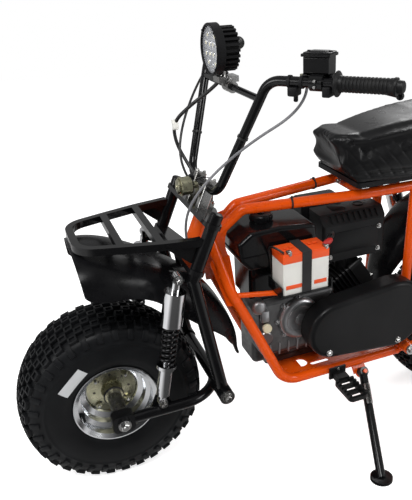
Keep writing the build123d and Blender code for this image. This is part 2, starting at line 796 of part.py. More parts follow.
with BuildPart() as main_frame:
    add(bar_along(steer(0, 0, HEAD_LOW), steer(0, 0, HEAD_TOP), HEAD_TUBE_R))
    cradle = tube(
        (
            (-294, 24, 640),
            (-324, 86, 498),
            (-416, RAIL_Y, 292),
            (RAIL_BEND_X - 8, RAIL_Y, RAIL_Z),
            (FRAME_PIVOT_X + 20, RAIL_Y, RAIL_Z),
        ),
        TUBE_R,
        (90, 60, 70),
    )
    top_tube = tube(
        (
            (-322, 14, 636),
            (-388, TOP_Y_FRONT, TOP_Z - 5),
            (TOP_SPREAD_X, TOP_Y, TOP_Z),
            (TOP_END_X, TOP_Y + 6, TOP_Z),
        ),
        TUBE_R,
        (30, 90),
    )
    upright = bar_along((FRAME_PIVOT_X - 4, UPRIGHT_Y, PIVOT_REAR_Z), (UPRIGHT_X, TOP_Y + 10, TOP_Z), TUBE_R)
    boss = lateral(FRAME_PIVOT_X, PIVOT_REAR_Z, RAIL_Y - 16, RAIL_Y + 7, FRAME_PIVOT_R)
    knee = slab((FRAME_PIVOT_X - 4, RAIL_Y - 14, RAIL_Z - 8), (32, 20, 26))
    hanger = slab((REAR_SHOCK_TOP[0] - 18, 130.5, REAR_SHOCK_TOP[1] - 16), (36, 6, 90))
    with BuildPart() as gusset:
        with BuildSketch(Plane.XZ.offset(-GUSSET_Y)):
            with BuildLine():
                Polyline((-348, 566), (-288, 560), (-258, 618), (-289, 693), (-332, 674), (-396, 690))
                ThreePointArc((-396, 690), (-342, 638), (-348, 566))
            make_face()
        extrude(amount=GUSSET_T / 2, both=True)
    web = plate(((-348, GUSSET_Y, 572), (-290, GUSSET_Y, 564), (-314, 84, 456), (-344, 92, 452)), GUSSET_T)
    for piece in (cradle, top_tube, upright, boss, knee, hanger, gusset.part, web):
        for half in both(piece):
            add(half)
    add(lateral(TOP_SPREAD_X, TOP_Z, -TOP_Y, TOP_Y, 10))
    add(lateral(REAR_SHOCK_TOP[0], TOP_Z, -136, 136, 11))
    add(lateral(TOP_END_X + 12, TOP_Z, -TOP_Y, TOP_Y, TUBE_R))
    for x in (FRAME_PIVOT_X + 60, -530):
        add(slab((x - 12, -RAIL_Y, RAIL_Z - 15), (24, 2 * RAIL_Y, 6 - GAP)))
    add(bar_along((-340, 90, 484), (-446, 122, 484), 7))
    for x in (REAR_SHOCK_TOP[0], TOP_END_X + 12):
        add(bar_along((x, 0, TOP_Z), (x, 0, 560), 8))
    add(rear_guard, mode=Mode.SUBTRACT)
    lug = Plane(stand_pivot - STAND_AXIS * 16.5, x_dir=(1, 0, 0), z_dir=STAND_AXIS)
    with BuildSketch(lug):
        Circle(15)
        with Locations((0, -16)):
            Rectangle(44, 32)
    extrude(amount=6)
    with BuildSketch(lug):
        Circle(6)
    extrude(amount=32)
    add(bar_along(steer(0, 0, HEAD_LOW - 4), steer(0, 0, HEAD_TOP + 4), STEM_R + STEM_CLEARANCE), mode=Mode.SUBTRACT)
    add(lateral(FRAME_PIVOT_X, PIVOT_REAR_Z, -200, 200, AXLE_R + BORE_CLEARANCE), mode=Mode.SUBTRACT)
    add(lateral(*REAR_SHOCK_TOP, -200, 200, SHOCK_BOLT_R + 0.1), mode=Mode.SUBTRACT)
    add(bar_along(steer(0, 0, HEAD_LOW - 30), steer(0, 0, HEAD_LOW), 60), mode=Mode.SUBTRACT)
keep("main_frame", main_frame.part.solids().sort_by(SortBy.VOLUME)[-1])

with BuildPart() as skid_plate:
    add(slab((-826, -RAIL_Y + 8, RAIL_Z - 9), (356, 2 * RAIL_Y - 16, PLATE_T)))
    with BuildSketch(Plane.XY.offset(RAIL_Z - 20)):
        with Locations((-546, 53), (-546, -53)):
            Circle(20)
        with Locations((-600, 70), (-600, -70)):
            SlotOverall(60, 14)
    extrude(amount=40, mode=Mode.SUBTRACT)
    for piece in both(cradle):
        add(piece, mode=Mode.SUBTRACT)
keep("skid_plate", skid_plate.part.solids().sort_by(SortBy.VOLUME)[-1])

# Rear swing arm: two straight arms on one pivot bolt
with BuildPart() as rear_arm:
    arm_front = (FRAME_PIVOT_X, REAR_ARM_Y, PIVOT_REAR_Z)
    arm_back = (-WHEELBASE + BLOCK_BACK, REAR_ARM_Y, REAR_AXLE_Z)
    tab = slab((REAR_SHOCK_LOW[0] - 16, SHOCK_Y - SHOCK_EYE_W / 2 - 7, REAR_AXLE_Z), (32, 6.5, 51))
    for piece in (
        bar_along(arm_front, arm_back, REAR_ARM_R),
        lateral(FRAME_PIVOT_X, PIVOT_REAR_Z, RAIL_Y + 7.5, REAR_ARM_Y + 15, FRAME_PIVOT_R),
        axle_block(-WHEELBASE, REAR_ARM_Y, REAR_AXLE_Z),
        tab,
    ):
        for half in both(piece):
            add(half)
    add(lateral(FRAME_PIVOT_X, PIVOT_REAR_Z, -200, 200, AXLE_R + BORE_CLEARANCE), mode=Mode.SUBTRACT)
    add(lateral(*REAR_SHOCK_LOW, -200, 200, SHOCK_BOLT_R + 0.1), mode=Mode.SUBTRACT)
keep("rear_swing_arm", rear_arm.part)

with BuildPart() as rear_pivot:
    add(lateral(FRAME_PIVOT_X, PIVOT_REAR_Z, -REAR_ARM_Y - 22, REAR_ARM_Y + 22, AXLE_R))
    for side in (1, -1):
        add(lateral(FRAME_PIVOT_X, PIVOT_REAR_Z, side * (REAR_ARM_Y + 15 + GAP), side * (REAR_ARM_Y + 22), 16))
keep("rear_pivot_bolt", rear_pivot.part)


# Engine: crankcase on the plate, finned cylinder leaning back, tank above
def rounded_block(corner, size, round_r):
    """A block with every edge rounded."""
    with BuildPart() as made:
        with Locations(corner):
            Box(*size, align=(Align.MIN, Align.MIN, Align.MIN))
        fillet(made.edges(), round_r)
    return made.part


SEAT_FACE = RAIL_Z - 9 + PLATE_T + GAP
with BuildPart() as crankcase:
    add(rounded_block((-640, -84, 262), (230, 166, 176), 16))
    add(rounded_block((-640, -84, SEAT_FACE + 10), (230, 104, 120), 16))
    add(slab((-650, -92, SEAT_FACE), (200, 110, 16.5), 8))
    add(lateral(-404, 428, 20, 82, 21))
    add(bar_along((-404, 40, 428), (-440, 40, 400), 20))
keep("engine_block", crankcase.part)

CYL_TILT = 56                 # degrees from upright, towards the rear
cyl_dir = (-sin(radians(CYL_TILT)), 0, cos(radians(CYL_TILT)))
cyl_base = Plane((-628, 0, 358), x_dir=(0, 1, 0), z_dir=cyl_dir)
with BuildPart() as cylinder:
    with BuildSketch(cyl_base.offset(0)):
        RectangleRounded(84, 84, 12)
    extrude(amount=130)
    for i in range(8):
        with BuildSketch(cyl_base.offset(24 + 12 * i)):
            RectangleRounded(120, 118, 10)
        extrude(amount=4)
    with BuildSketch(cyl_base.offset(122)):
        RectangleRounded(104, 100, 14)
    extrude(amount=40)
    add(crankcase.part, mode=Mode.SUBTRACT)
keep("cylinder", cylinder.part.solids().sort_by(SortBy.VOLUME)[-1])

with BuildPart() as tank:
    with BuildSketch(Plane.XZ.offset(-88)):
        with BuildLine():
            Polyline(
                (-356, 572),
                (-350, 622),
                (-386, 648),
                (-470, 652),
                (-572, 642),
                (-580, 566),
                (-560, 542),
                (-384, 542),
                close=True,
            )
        make_face()
    extrude(amount=176)
    fillet(tank.edges().filter_by(Axis.Y), 12)
    fillet(tank.faces().filter_by(Axis.Y).edges(), 10)
    add(slab((-566, -64, 436.5), (176, 128, 112), 14))
    add(bar_along((-444, 16, 630), (-444, 16, 668), 28))
    add(crankcase.part, mode=Mode.SUBTRACT)
keep("fuel_tank", tank.part)

MUFFLER = (-806, -28, 505, 198, 90, 135)   # lowest corner and size
MUFFLER_SLOPE = (24, 28)      # width and height of the sloped edge with the louvres
with BuildPart() as muffler:
    x0, y0, z0, long, wide, high = MUFFLER
    with BuildSketch(Plane.YZ.offset(x0)):
        with BuildLine():
            Polyline(
                (y0, z0),
                (y0 + wide, z0),
                (y0 + wide, z0 + high - MUFFLER_SLOPE[1]),
                (y0 + wide - MUFFLER_SLOPE[0], z0 + high),
                (y0, z0 + high),
                close=True,
            )
        make_face()
    extrude(amount=long)
    fillet(muffler.edges().filter_by(Axis.Z), 8)
    slope_turn = degrees(atan(MUFFLER_SLOPE[1] / MUFFLER_SLOPE[0]))
    louvre_y = y0 + wide - MUFFLER_SLOPE[0] / 2
    louvre_z = z0 + high - MUFFLER_SLOPE[1] / 2
    louvres = [Location((x0 + 27 + 18 * i, louvre_y, louvre_z), (-slope_turn, 0, 0)) for i in range(9)]
    with Locations(*louvres):
        Box(9, 24, 8, mode=Mode.SUBTRACT)
    add(bar_along((-690, 20, 430), (-690, 20, 515), 17))
    add(cylinder.part, mode=Mode.SUBTRACT)
keep("muffler_guard", muffler.part.solids().sort_by(SortBy.VOLUME)[-1])

with BuildPart() as air_cleaner:
    add(rounded_block((-734, -122, 544), (138, 88, 108), 16))
    add(bar_along((-650, -80, 400), (-650, -80, 560), 18))
    add(crankcase.part, mode=Mode.SUBTRACT)
    add(cylinder.part, mode=Mode.SUBTRACT)
keep("air_cleaner", air_cleaner.part.solids().sort_by(SortBy.VOLUME)[-1])

with BuildPart() as recoil:
    add(lateral(-552, 316, -84 - GAP, -118, 92))
    add(lateral(-552, 316, -118, -132, 60))
keep("recoil_starter", recoil.part)

with BuildPart() as side_cover:
    add(lateral(-522, 370, 82 + GAP, 100, 62))
    fillet(side_cover.faces().sort_by(Axis.Y)[-1].edges(), 14)
    with Locations((-522, 84.3, 370)):
        for turn in (-90, -45, 0, 45, 90):
            x = 64 * cos(radians(turn))
            z = 64 * sin(radians(turn))
            with Locations((x, 0, z)):
                Cylinder(7, 4, rotation=(90, 0, 0))
keep("engine_side_cover", side_cover.part)



def cover_outline(inset):
    """The drive cover's outline, drawn in by an inset all round."""
    for x, z, radius in COVER_ENDS:
        with Locations((x, z)):
            Circle(radius - inset)
    make_hull()


with BuildPart() as drive_cover:
    with BuildSketch(Plane.XZ.offset(-COVER_Y)):
        cover_outline(0)
    extrude(amount=-COVER_DEPTH)
    fillet(drive_cover.faces().sort_by(Axis.Y)[-1].edges(), 14)
    with BuildSketch(Plane.XZ.offset(-COVER_Y + 1)):
        cover_outline(COVER_WALL)
    extrude(amount=-(COVER_DEPTH - 14), mode=Mode.SUBTRACT)
    with BuildSketch(Plane.XZ.offset(-COVER_Y)):
        cover_outline(COVER_WALL - 1)
        with Locations(COVER_ENDS[0][:2]):
            Circle(34, mode=Mode.SUBTRACT)
    extrude(amount=-COVER_WALL)
    for z in (290, 410):
        add(lateral(-628, z, 82 + GAP, COVER_Y + 1, 10))
keep("drive_cover", drive_cover.part)

with BuildPart() as pulleys:
    for (x, z, radius), from_y, shaft in zip(COVER_ENDS, (82 + GAP, COVER_Y + COVER_WALL + GAP), (15, 15)):
        add(lateral(x, z, from_y, COVER_Y + 30, shaft))
        add(lateral(x, z, COVER_Y + 8, COVER_Y + 36, radius - 22))
keep("drive_pulleys", group(*pulleys.part.solids()))

# Battery on its tray
low_x = BATTERY_AT[0] - BATTERY[0] / 2
low_y = BATTERY_AT[1] - BATTERY[1] / 2
low_z = BATTERY_AT[2] - BATTERY[2] / 2
with BuildPart() as battery:
    add(slab((low_x, low_y, low_z), BATTERY, 4))
    add(slab((low_x + 2, low_y + 2, low_z + BATTERY[2]), (BATTERY[0] - 4, BATTERY[1] - 4, 4), 3))
keep("battery", battery.part)

with BuildPart() as tray:
    add(slab((low_x - 8, low_y - 6, low_z - TRAY_T - GAP), (BATTERY[0] + 16, BATTERY[1] + 12, TRAY_T)))
    for x in (low_x - 8, low_x + BATTERY[0] + 5):
        add(slab((x, low_y - 6, low_z - TRAY_T - GAP), (3, BATTERY[1] + 12, 30)))
    add(main_frame.part, mode=Mode.SUBTRACT)
keep("battery_tray", tray.part)

with BuildPart() as strap:
    top_z = low_z + BATTERY[2] + 4
    add(slab((BATTERY_AT[0] - 13, low_y - 3, low_z), (26, BATTERY[1] + 6, BATTERY[2] + 7)))
    add(slab((low_x, low_y - GAP, low_z - 2), (BATTERY[0], BATTERY[1] + 2 * GAP, BATTERY[2] + 6 + GAP)), mode=Mode.SUBTRACT)
keep("battery_strap", strap.part)

# Seat on its base
SEAT_TRIM = 6                 # the side profile runs past the rounded plan that cuts it
with BuildPart() as seat:
    with BuildSketch(Plane.XZ.offset(-SEAT_HALF - SEAT_TRIM)):
        with BuildLine():
            Polyline(
                (SEAT_BACK - SEAT_TRIM, SEAT_Z + GAP),
                (-672, SEAT_Z + GAP),
                (SEAT_FRONT - 4, SEAT_Z + 60),
                (SEAT_FRONT + 3, 862),
                (-700, 856),
                (-910, 902),
                (-1220, 906),
                (SEAT_BACK - SEAT_TRIM, 868),
                close=True,
            )
        make_face()
    extrude(amount=2 * (SEAT_HALF + SEAT_TRIM))
    fillet(seat.edges().filter_by(Axis.Y).sort_by(Axis.Z)[2:], 16)
    with BuildSketch(Plane.XY.offset(SEAT_Z - 10)):
        with Locations(((SEAT_FRONT + SEAT_BACK) / 2, 0)):
            RectangleRounded(SEAT_FRONT - SEAT_BACK, 2 * SEAT_HALF, 70)
    extrude(amount=240, mode=Mode.INTERSECT)
keep("seat", seat.part)

with BuildPart() as seat_base:
    add(slab((SEAT_BACK + 20, -112, SEAT_Z - 14), (630, 224, 14), 10))
    for x in (-760, -1000, -1230):
        for y in (TOP_Y - 14, 14 - TOP_Y):
            add(bar_along((x, y, TOP_Z + 6), (x, y, SEAT_Z - 10), 12))
    add(main_frame.part, mode=Mode.SUBTRACT)
keep("seat_base", seat_base.part)


# Foot pegs on brackets outside the lower rails
def peg(side):
    """One toothed peg with its bracket, bolted against the rail."""
    inner = RAIL_Y + TUBE_R
    with BuildPart() as made:
        add(slab((-648, inner + GAP, 170), (52, 6, 36)))
        add(slab((-640, inner + 5, 176), (36, 36, 18)))
        add(slab((-650, inner + 36, 176), (58, 92, 12), 12))
        for i in range(3):
            with Locations((-621, inner + 53 + 28 * i, 182)):
                Box(34, 18, 20, mode=Mode.SUBTRACT)
        for x in (-649, -601):
            for i in range(6):
                add(slab((x, inner + 44 + 14 * i, 187), (8, 7, 7)))
    return made.part if side > 0 else mirror(made.part, about=Plane.XZ)


keep("foot_pegs", group(peg(1), peg(-1)))

# How the bike stands: level across both tyres, leaning onto the stand
pitch = degrees(atan((TYRE_R - REAR_AXLE_Z) * cos(radians(LEAN)) / WHEELBASE))
stance = Location((0, 0, 0), (0, pitch, 0)) * Location((0, 0, 0), (-LEAN, 0, 0))
floor_z = pieces["front_tyre"].moved(stance).bounding_box().min.Z


def floor_height(x, y):
    """Height of the floor at a place in the bike's own axes."""
    zero = (stance * Location((x, y, 0))).position.Z
    rise = (stance * Location((x, y, 1))).position.Z - zero
    return (floor_z - zero) / rise


# Side stand: boss, leg and foot
foot_z = floor_height(*STAND_FOOT)
down = stance.inverse() * Location((0, 0, 1))
foot_normal = down.position - stance.inverse().position
foot = Vector(STAND_FOOT[0], STAND_FOOT[1], foot_z)
with BuildPart() as side_stand:
    with BuildSketch(Plane(stand_pivot - STAND_AXIS * 10, x_dir=(1, 0, 0), z_dir=STAND_AXIS)):
        Circle(14)
    extrude(amount=20)
    leg_dir = (foot - stand_pivot).normalized()
    add(bar_along(tuple(stand_pivot + leg_dir * 6), tuple(foot + foot_normal * FOOT_T / 2), STAND_R))
    with BuildSketch(Plane(foot, x_dir=(1, 0, 0), z_dir=foot_normal)):
        Circle(FOOT_R)
    extrude(amount=FOOT_T)
    with BuildSketch(Plane(stand_pivot - STAND_AXIS * 40, x_dir=(1, 0, 0), z_dir=STAND_AXIS)):
        Circle(6 + BORE_CLEARANCE)
    extrude(amount=80, mode=Mode.SUBTRACT)
    with BuildSketch(Plane(foot - foot_normal * 40, x_dir=(1, 0, 0), z_dir=foot_normal)):
        Circle(60)
    extrude(amount=40, mode=Mode.SUBTRACT)
keep("side_stand", side_stand.part)

# Every piece is put down on the floor, with the middle of the whole over the origin
boxes = [part.moved(stance).bounding_box() for part in pieces.values()]
middle_x = (min(b.min.X for b in boxes) + max(b.max.X for b in boxes)) / 2
middle_y = (min(b.min.Y for b in boxes) + max(b.max.Y for b in boxes)) / 2
parked = Location((-middle_x, -middle_y, -floor_z)) * stance
for node, part in pieces.items():
    placed = part.moved(parked)
    placed.label = node
    export_step(placed, f"parts/{node}.step")
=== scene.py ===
"""Looks for the fat-tyre minibike: finishes, tyre treads, padded seat, lamp and small fittings."""

import json
import logging
import math
from collections.abc import Sequence
from dataclasses import dataclass
from enum import Enum
from typing import ClassVar

import bmesh
import bpy
from mathutils import Matrix, Vector

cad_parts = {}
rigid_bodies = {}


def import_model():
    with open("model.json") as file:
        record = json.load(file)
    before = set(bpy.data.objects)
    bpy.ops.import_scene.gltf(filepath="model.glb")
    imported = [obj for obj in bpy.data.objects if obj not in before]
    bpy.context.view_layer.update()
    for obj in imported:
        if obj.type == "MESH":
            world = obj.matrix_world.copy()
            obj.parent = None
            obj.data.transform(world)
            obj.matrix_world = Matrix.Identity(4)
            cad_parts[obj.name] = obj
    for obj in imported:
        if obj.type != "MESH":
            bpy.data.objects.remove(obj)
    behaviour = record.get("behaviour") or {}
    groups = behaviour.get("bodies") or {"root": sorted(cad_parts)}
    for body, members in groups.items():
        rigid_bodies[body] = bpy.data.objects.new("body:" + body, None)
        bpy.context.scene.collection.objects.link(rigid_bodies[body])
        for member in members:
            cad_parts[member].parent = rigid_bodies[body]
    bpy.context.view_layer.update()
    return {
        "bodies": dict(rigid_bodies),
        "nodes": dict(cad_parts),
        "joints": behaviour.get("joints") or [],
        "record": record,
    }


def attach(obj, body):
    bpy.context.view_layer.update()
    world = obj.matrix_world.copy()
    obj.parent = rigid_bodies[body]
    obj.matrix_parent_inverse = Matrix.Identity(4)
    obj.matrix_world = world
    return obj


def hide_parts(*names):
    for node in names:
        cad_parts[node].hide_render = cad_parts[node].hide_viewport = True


LOG = logging.getLogger("minibike")
MM = 0.001
AHEAD = (1, 0, 0)
LEFT = (0, 1, 0)
UP = (0, 0, 1)

Triple = tuple[float, float, float]
Pair = tuple[float, float]
Tree = bpy.types.NodeTree
Socket = bpy.types.NodeSocket


@dataclass(frozen=True)
class Stance:
    """How the upright bike is put down on the floor, as the part's source does it."""

    # the angles in degrees, and in millimetres the middle of the parked bike and the floor's height
    lean: float = 4.5
    pitch: float = 2.424851648
    middle: Pair = (-559.9363261, 82.2295394)
    floor: float = -1.1917976

    def matrix(self) -> Matrix:
        """The move from the bike's own axes, in millimetres, to the row frame in metres.

        Returns:
            The matrix.
        """
        pitch = Matrix.Rotation(math.radians(self.pitch), 4, "Y")
        lean = Matrix.Rotation(math.radians(-self.lean), 4, "X")
        down = Matrix.Translation((-self.middle[0], -self.middle[1], -self.floor))
        return Matrix.Scale(MM, 4) @ down @ (pitch @ lean)

    def point(self, x: float, y: float, z: float) -> Vector:
        """A place in the bike's own axes, moved to the row frame."""
        return self.matrix() @ Vector((x, y, z))


STANCE = Stance()
# the steering head: its rake, the x and z of its upper end, and the direction of its axis
RAKE = math.radians(23.7)
HEAD = (-292.0, 688.0)
STEER_UP = Vector((-math.sin(RAKE), 0, math.cos(RAKE)))


class Body(Enum):
    """The rigid bodies that pieces ride on."""

    FRAME = "frame"
    STEERING = "steering"
    FRONT_WHEEL = "front_wheel"
    REAR_WHEEL = "rear_wheel"
    STAND = "stand"


class Grain(Enum):
    """The small relief on a surface."""

    NONE = "none"
    NOISE = "noise"
    LEATHER = "leather"
    BRUSHED = "brushed"


def feed(tree: Tree, socket: Socket, value: float | Sequence[float] | Socket) -> None:
    """Sets an input, or links an output to it.

    Args:
        tree: The nodes.
        socket: The input.
        value: Its value, or the output that feeds it.
    """
    if isinstance(value, Socket):
        tree.links.new(value, socket)
    else:
        socket.default_value = value


def add_node(tree: Tree, kind: str, **values: float | Sequence[float] | Socket) -> bpy.types.Node:
    """Adds a shader node and feeds its inputs.

    Args:
        tree: The material's or the world's nodes.
        kind: The node's type, without the word that all types start with.
        values: The inputs by name, with _ for a blank.

    Returns:
        The node.
    """
    node = tree.nodes.new("ShaderNode" + kind)
    for name, value in values.items():
        feed(tree, node.inputs[name.replace("_", " ")], value)
    return node


def add_span(tree: Tree, value: Socket, given: Pair, wanted: Pair) -> Socket:
    """Maps a value from one range to another.

    Args:
        tree: The nodes.
        value: The output to map.
        given: The two ends of its range.
        wanted: What they become.

    Returns:
        The mapped output.
    """
    ends = {"From_Min": given[0], "From_Max": given[1], "To_Min": wanted[0], "To_Max": wanted[1]}
    return add_node(tree, "MapRange", Value=value, **ends).outputs["Result"]


def add_blend(tree: Tree, share: Socket, colours: Sequence[Triple | Socket]) -> Socket:
    """Mixes two colours.

    Args:
        tree: The nodes.
        share: How much of the second there is.
        colours: Each a colour or an output.

    Returns:
        The mixed colour.
    """
    node = add_node(tree, "Mix")
    node.data_type = "RGBA"
    tree.links.new(share, node.inputs[0])
    # a mix node's colours are its inputs 6 and 7, and its colour is output 2
    for number, colour in enumerate(colours, 6):
        feed(tree, node.inputs[number], colour if isinstance(colour, Socket) else (*colour, 1.0))
    return node.outputs[2]


def add_toward(tree: Tree, place: Socket, direction: Triple) -> Socket:
    """How far a direction lies toward another, as their dot product.

    Args:
        tree: The nodes.
        place: The output with the first direction.
        direction: The second one.

    Returns:
        The value's output.
    """
    node = add_node(tree, "VectorMath", Vector=place)
    node.operation = "DOT_PRODUCT"
    node.inputs[1].default_value = direction
    return node.outputs["Value"]


def add_surface(tree: Tree, kind: str, parts: Sequence[Socket], output: str) -> None:
    """Joins outputs in one last shader and makes it the surface.

    Args:
        tree: The nodes.
        kind: The last shader's type.
        parts: What goes in, in order.
        output: The name of the output node.
    """
    last = add_node(tree, kind)
    for socket, part in zip(last.inputs, parts):
        tree.links.new(part, socket)
    tree.links.new(last.outputs[0], tree.nodes[output].inputs["Surface"])


def add_object(name: str, data: bpy.types.ID) -> bpy.types.Object:
    """Puts data in the scene as an object.

    Args:
        name: The object's name.
        data: Its mesh, curve, light or camera.

    Returns:
        The object.
    """
    made = bpy.data.objects.new(name, data)
    bpy.context.scene.collection.objects.link(made)
    return made


@dataclass(frozen=True)
class Finish:
    """One procedural surface: colour with some variation, gloss, and fine relief.

    The scales are cycles per metre, and relief is in millimetres.
    """

    name: str
    colour: Triple
    shade: Triple
    metallic: float = 0.0
    rough: Pair = (0.35, 0.5)
    grain: Grain = Grain.NOISE
    grain_scale: float = 400.0
    relief: float = 0.05
    patch_scale: float = 9.0
    coat: float = 0.0
    # painted edge highlight: how strongly the convex edges are lightened, and the lighter colour they take
    edge_highlight: float = 0.0
    edge_highlight_colour: Triple = (0.3, 0.3, 0.3)
    alpha: float = 1.0
    specular: float = 0.5
    slot: str = ""

    # how shiny a coat is, how strongly the relief shows, and how drawn out the brushed grain is
    COAT_ROUGHNESS: ClassVar[float] = 0.08
    BUMP: ClassVar[float] = 0.6
    BRUSH: ClassVar[Triple] = (0.06, 1.0, 1.0)
    # the parts of the noise between which the colour and the gloss change, and of the pointiness over which
    # the edges take their painted highlight
    PATCHES: ClassVar[Pair] = (0.35, 0.65)
    SHINE: ClassVar[Pair] = (0.3, 0.7)
    EDGES: ClassVar[Pair] = (0.56, 0.66)

    def material(self) -> bpy.types.Material:
        """The finish as a node material, made once.

        Returns:
            The material of this name.
        """
        made = bpy.data.materials.get(self.name)
        if made is not None:
            return made
        made = bpy.data.materials.new(self.name)
        made.use_nodes = True
        tree = made.node_tree
        shader = tree.nodes["Principled BSDF"]
        place = add_node(tree, "TexCoord").outputs["Object"]
        gloss = self._noise(tree, place, self.patch_scale * 4.0)
        inputs = {
            "Base Color": self._colour(tree, place), "Metallic": self.metallic,
            "Roughness": add_span(tree, gloss, self.SHINE, self.rough), "Alpha": self.alpha,
            "Coat Weight": self.coat, "Coat Roughness": self.COAT_ROUGHNESS,
            "Specular IOR Level": self.specular,
        }
        if self.relief > 0 and self.grain is not Grain.NONE:
            height = self._relief(tree, place)
            bump = add_node(tree, "Bump", Strength=self.BUMP, Distance=self.relief * MM, Height=height)
            inputs["Normal"] = bump.outputs["Normal"]
        for name, value in inputs.items():
            feed(tree, shader.inputs[name], value)
        return made

    def _noise(self, tree: Tree, place: Socket, scale: float) -> Socket:
        """The value of a noise texture, at a scale in cycles per metre."""
        return add_node(tree, "TexNoise", Vector=place, Scale=scale, Detail=4.0).outputs["Fac"]

    def _colour(self, tree: Tree, place: Socket) -> Socket:
        """Mixes the two shades in soft patches, and lightens the convex edges as a painted edge highlight.

        Args:
            tree: The material's nodes.
            place: The coordinates.

        Returns:
            The colour's output.
        """
        patches = add_span(tree, self._noise(tree, place, self.patch_scale), self.PATCHES, (0.0, 1.0))
        result = add_blend(tree, patches, (self.colour, self.shade))
        # painted highlight: the convex edges, found by pointiness, are lightened as if they caught the light
        if self.edge_highlight > 0:
            edge = add_node(tree, "NewGeometry").outputs["Pointiness"]
            result = add_blend(tree, add_span(tree, edge, self.EDGES, (0.0, self.edge_highlight)), (result, self.edge_highlight_colour))
        return result

    def _relief(self, tree: Tree, place: Socket) -> Socket:
        """The height of the chosen grain.

        Args:
            tree: The material's nodes.
            place: The coordinates.

        Returns:
            The height's output.
        """
        if self.grain is Grain.LEATHER:
            cells = add_node(tree, "TexVoronoi", Vector=place, Scale=self.grain_scale)
            cells.feature = "SMOOTH_F1"
            return cells.outputs["Distance"]
        if self.grain is Grain.BRUSHED:
            place = add_node(tree, "Mapping", Vector=place, Scale=self.BRUSH).outputs["Vector"]
        return self._noise(tree, place, self.grain_scale)


# where a finish lightens its convex edges, that lighter colour is a painted edge highlight
ORANGE = Finish(
    "orange_powder_coat", (0.82, 0.090, 0.003), (0.76, 0.078, 0.002), rough=(0.2, 0.3),
    grain_scale=900, relief=0.03, coat=0.05, specular=0.3, edge_highlight=0.2, edge_highlight_colour=(0.85, 0.2, 0.04), slot="orange",
)
BLACK_GLOSS = Finish(
    "black_powder_coat", (0.003, 0.003, 0.0035), (0.005, 0.005, 0.0055), rough=(0.12, 0.2),
    grain_scale=900, relief=0.02, specular=0.28, edge_highlight=0.12, edge_highlight_colour=(0.02, 0.02, 0.02), slot="black_metal",
)
CHROME = Finish(
    "polished_chrome", (0.74, 0.74, 0.75), (0.66, 0.66, 0.68), metallic=1.0, rough=(0.06, 0.15),
    relief=0.01, grain_scale=300, slot="chrome",
)
STEEL = Finish(
    "grey_zinc_plate", (0.62, 0.62, 0.62), (0.30, 0.29, 0.27), metallic=1.0, rough=(0.18, 0.34),
    grain_scale=700, relief=0.04, slot="zinc",
)
# dark metal for the hubs' seal rings, and for the discs that paint the shade in the flange's holes
SEAL_AND_HOLE_SHADE = Finish(
    "seal_and_painted_hole_shade", (0.06, 0.06, 0.06), (0.10, 0.09, 0.08), metallic=0.8, rough=(0.4, 0.55),
    grain_scale=700, relief=0.05, slot="zinc",
)
YELLOW_ZINC = Finish(
    "yellow_zinc_plate", (0.52, 0.50, 0.35), (0.45, 0.44, 0.31), metallic=1.0, rough=(0.22, 0.36),
    grain_scale=600, relief=0.04, patch_scale=20, slot="zinc_yellow",
)
ALLOY = Finish(
    "cast_alloy", (0.50, 0.50, 0.51), (0.38, 0.38, 0.39), metallic=0.9, rough=(0.28, 0.44),
    grain_scale=500, relief=0.1, patch_scale=14, slot="alloy",
)
DARK_CAST = Finish(
    "oily_casting", (0.13, 0.13, 0.13), (0.055, 0.055, 0.057), metallic=0.7, rough=(0.34, 0.52),
    grain_scale=420, relief=0.2, patch_scale=22, edge_highlight=0.4, edge_highlight_colour=(0.4, 0.4, 0.4), slot="alloy",
)
RIM_ALLOY = Finish(
    "pressed_rim", (0.66, 0.67, 0.69), (0.58, 0.59, 0.60), metallic=1.0, rough=(0.12, 0.22),
    grain=Grain.BRUSHED, grain_scale=200, relief=0.012, slot="alloy",
)
TYRE_RUBBER = Finish(
    "tyre_rubber", (0.0045, 0.0048, 0.0055), (0.008, 0.0085, 0.0095), rough=(0.38, 0.52),
    grain_scale=260, relief=0.12, specular=0.15, edge_highlight=0.25, edge_highlight_colour=(0.020, 0.021, 0.023), slot="tyre",
)
SOFT_RUBBER = Finish(
    "grip_rubber", (0.005, 0.005, 0.0055), (0.009, 0.009, 0.009), rough=(0.42, 0.56),
    grain=Grain.LEATHER, grain_scale=420, relief=0.25, specular=0.25, slot="rubber",
)
BLACK_PLASTIC = Finish(
    "black_moulded_plastic", (0.004, 0.004, 0.0045), (0.007, 0.007, 0.008), rough=(0.22, 0.34),
    grain_scale=350, relief=0.04, specular=0.15, edge_highlight=0.1, edge_highlight_colour=(0.03, 0.03, 0.03), slot="black_plastic",
)
MATTE_PLASTIC = Finish(
    "black_matte_plastic", (0.006, 0.006, 0.0065), (0.010, 0.010, 0.011), rough=(0.42, 0.56),
    grain=Grain.LEATHER, grain_scale=700, relief=0.1, specular=0.16, slot="matte_plastic",
)
CAST_BLACK = Finish(
    "painted_engine_casting", (0.005, 0.005, 0.0055), (0.009, 0.009, 0.0095), rough=(0.28, 0.42),
    grain_scale=420, relief=0.12, specular=0.17, edge_highlight=0.2, edge_highlight_colour=(0.05, 0.05, 0.05), slot="black_metal",
)
WHITE_PLASTIC = Finish(
    "battery_case", (0.80, 0.79, 0.74), (0.72, 0.71, 0.67), rough=(0.35, 0.48),
    grain_scale=500, relief=0.06, slot="battery_white",
)
BATTERY_ORANGE = Finish(
    "battery_orange", (0.86, 0.095, 0.010), (0.80, 0.080, 0.008), rough=(0.32, 0.45),
    grain_scale=500, relief=0.05,
)
SEAT_VINYL = Finish(
    "stitched_vinyl", (0.006, 0.006, 0.0065), (0.010, 0.010, 0.0105), rough=(0.26, 0.4),
    grain=Grain.LEATHER, grain_scale=620, relief=0.12, specular=0.22, slot="seat_cover",
)
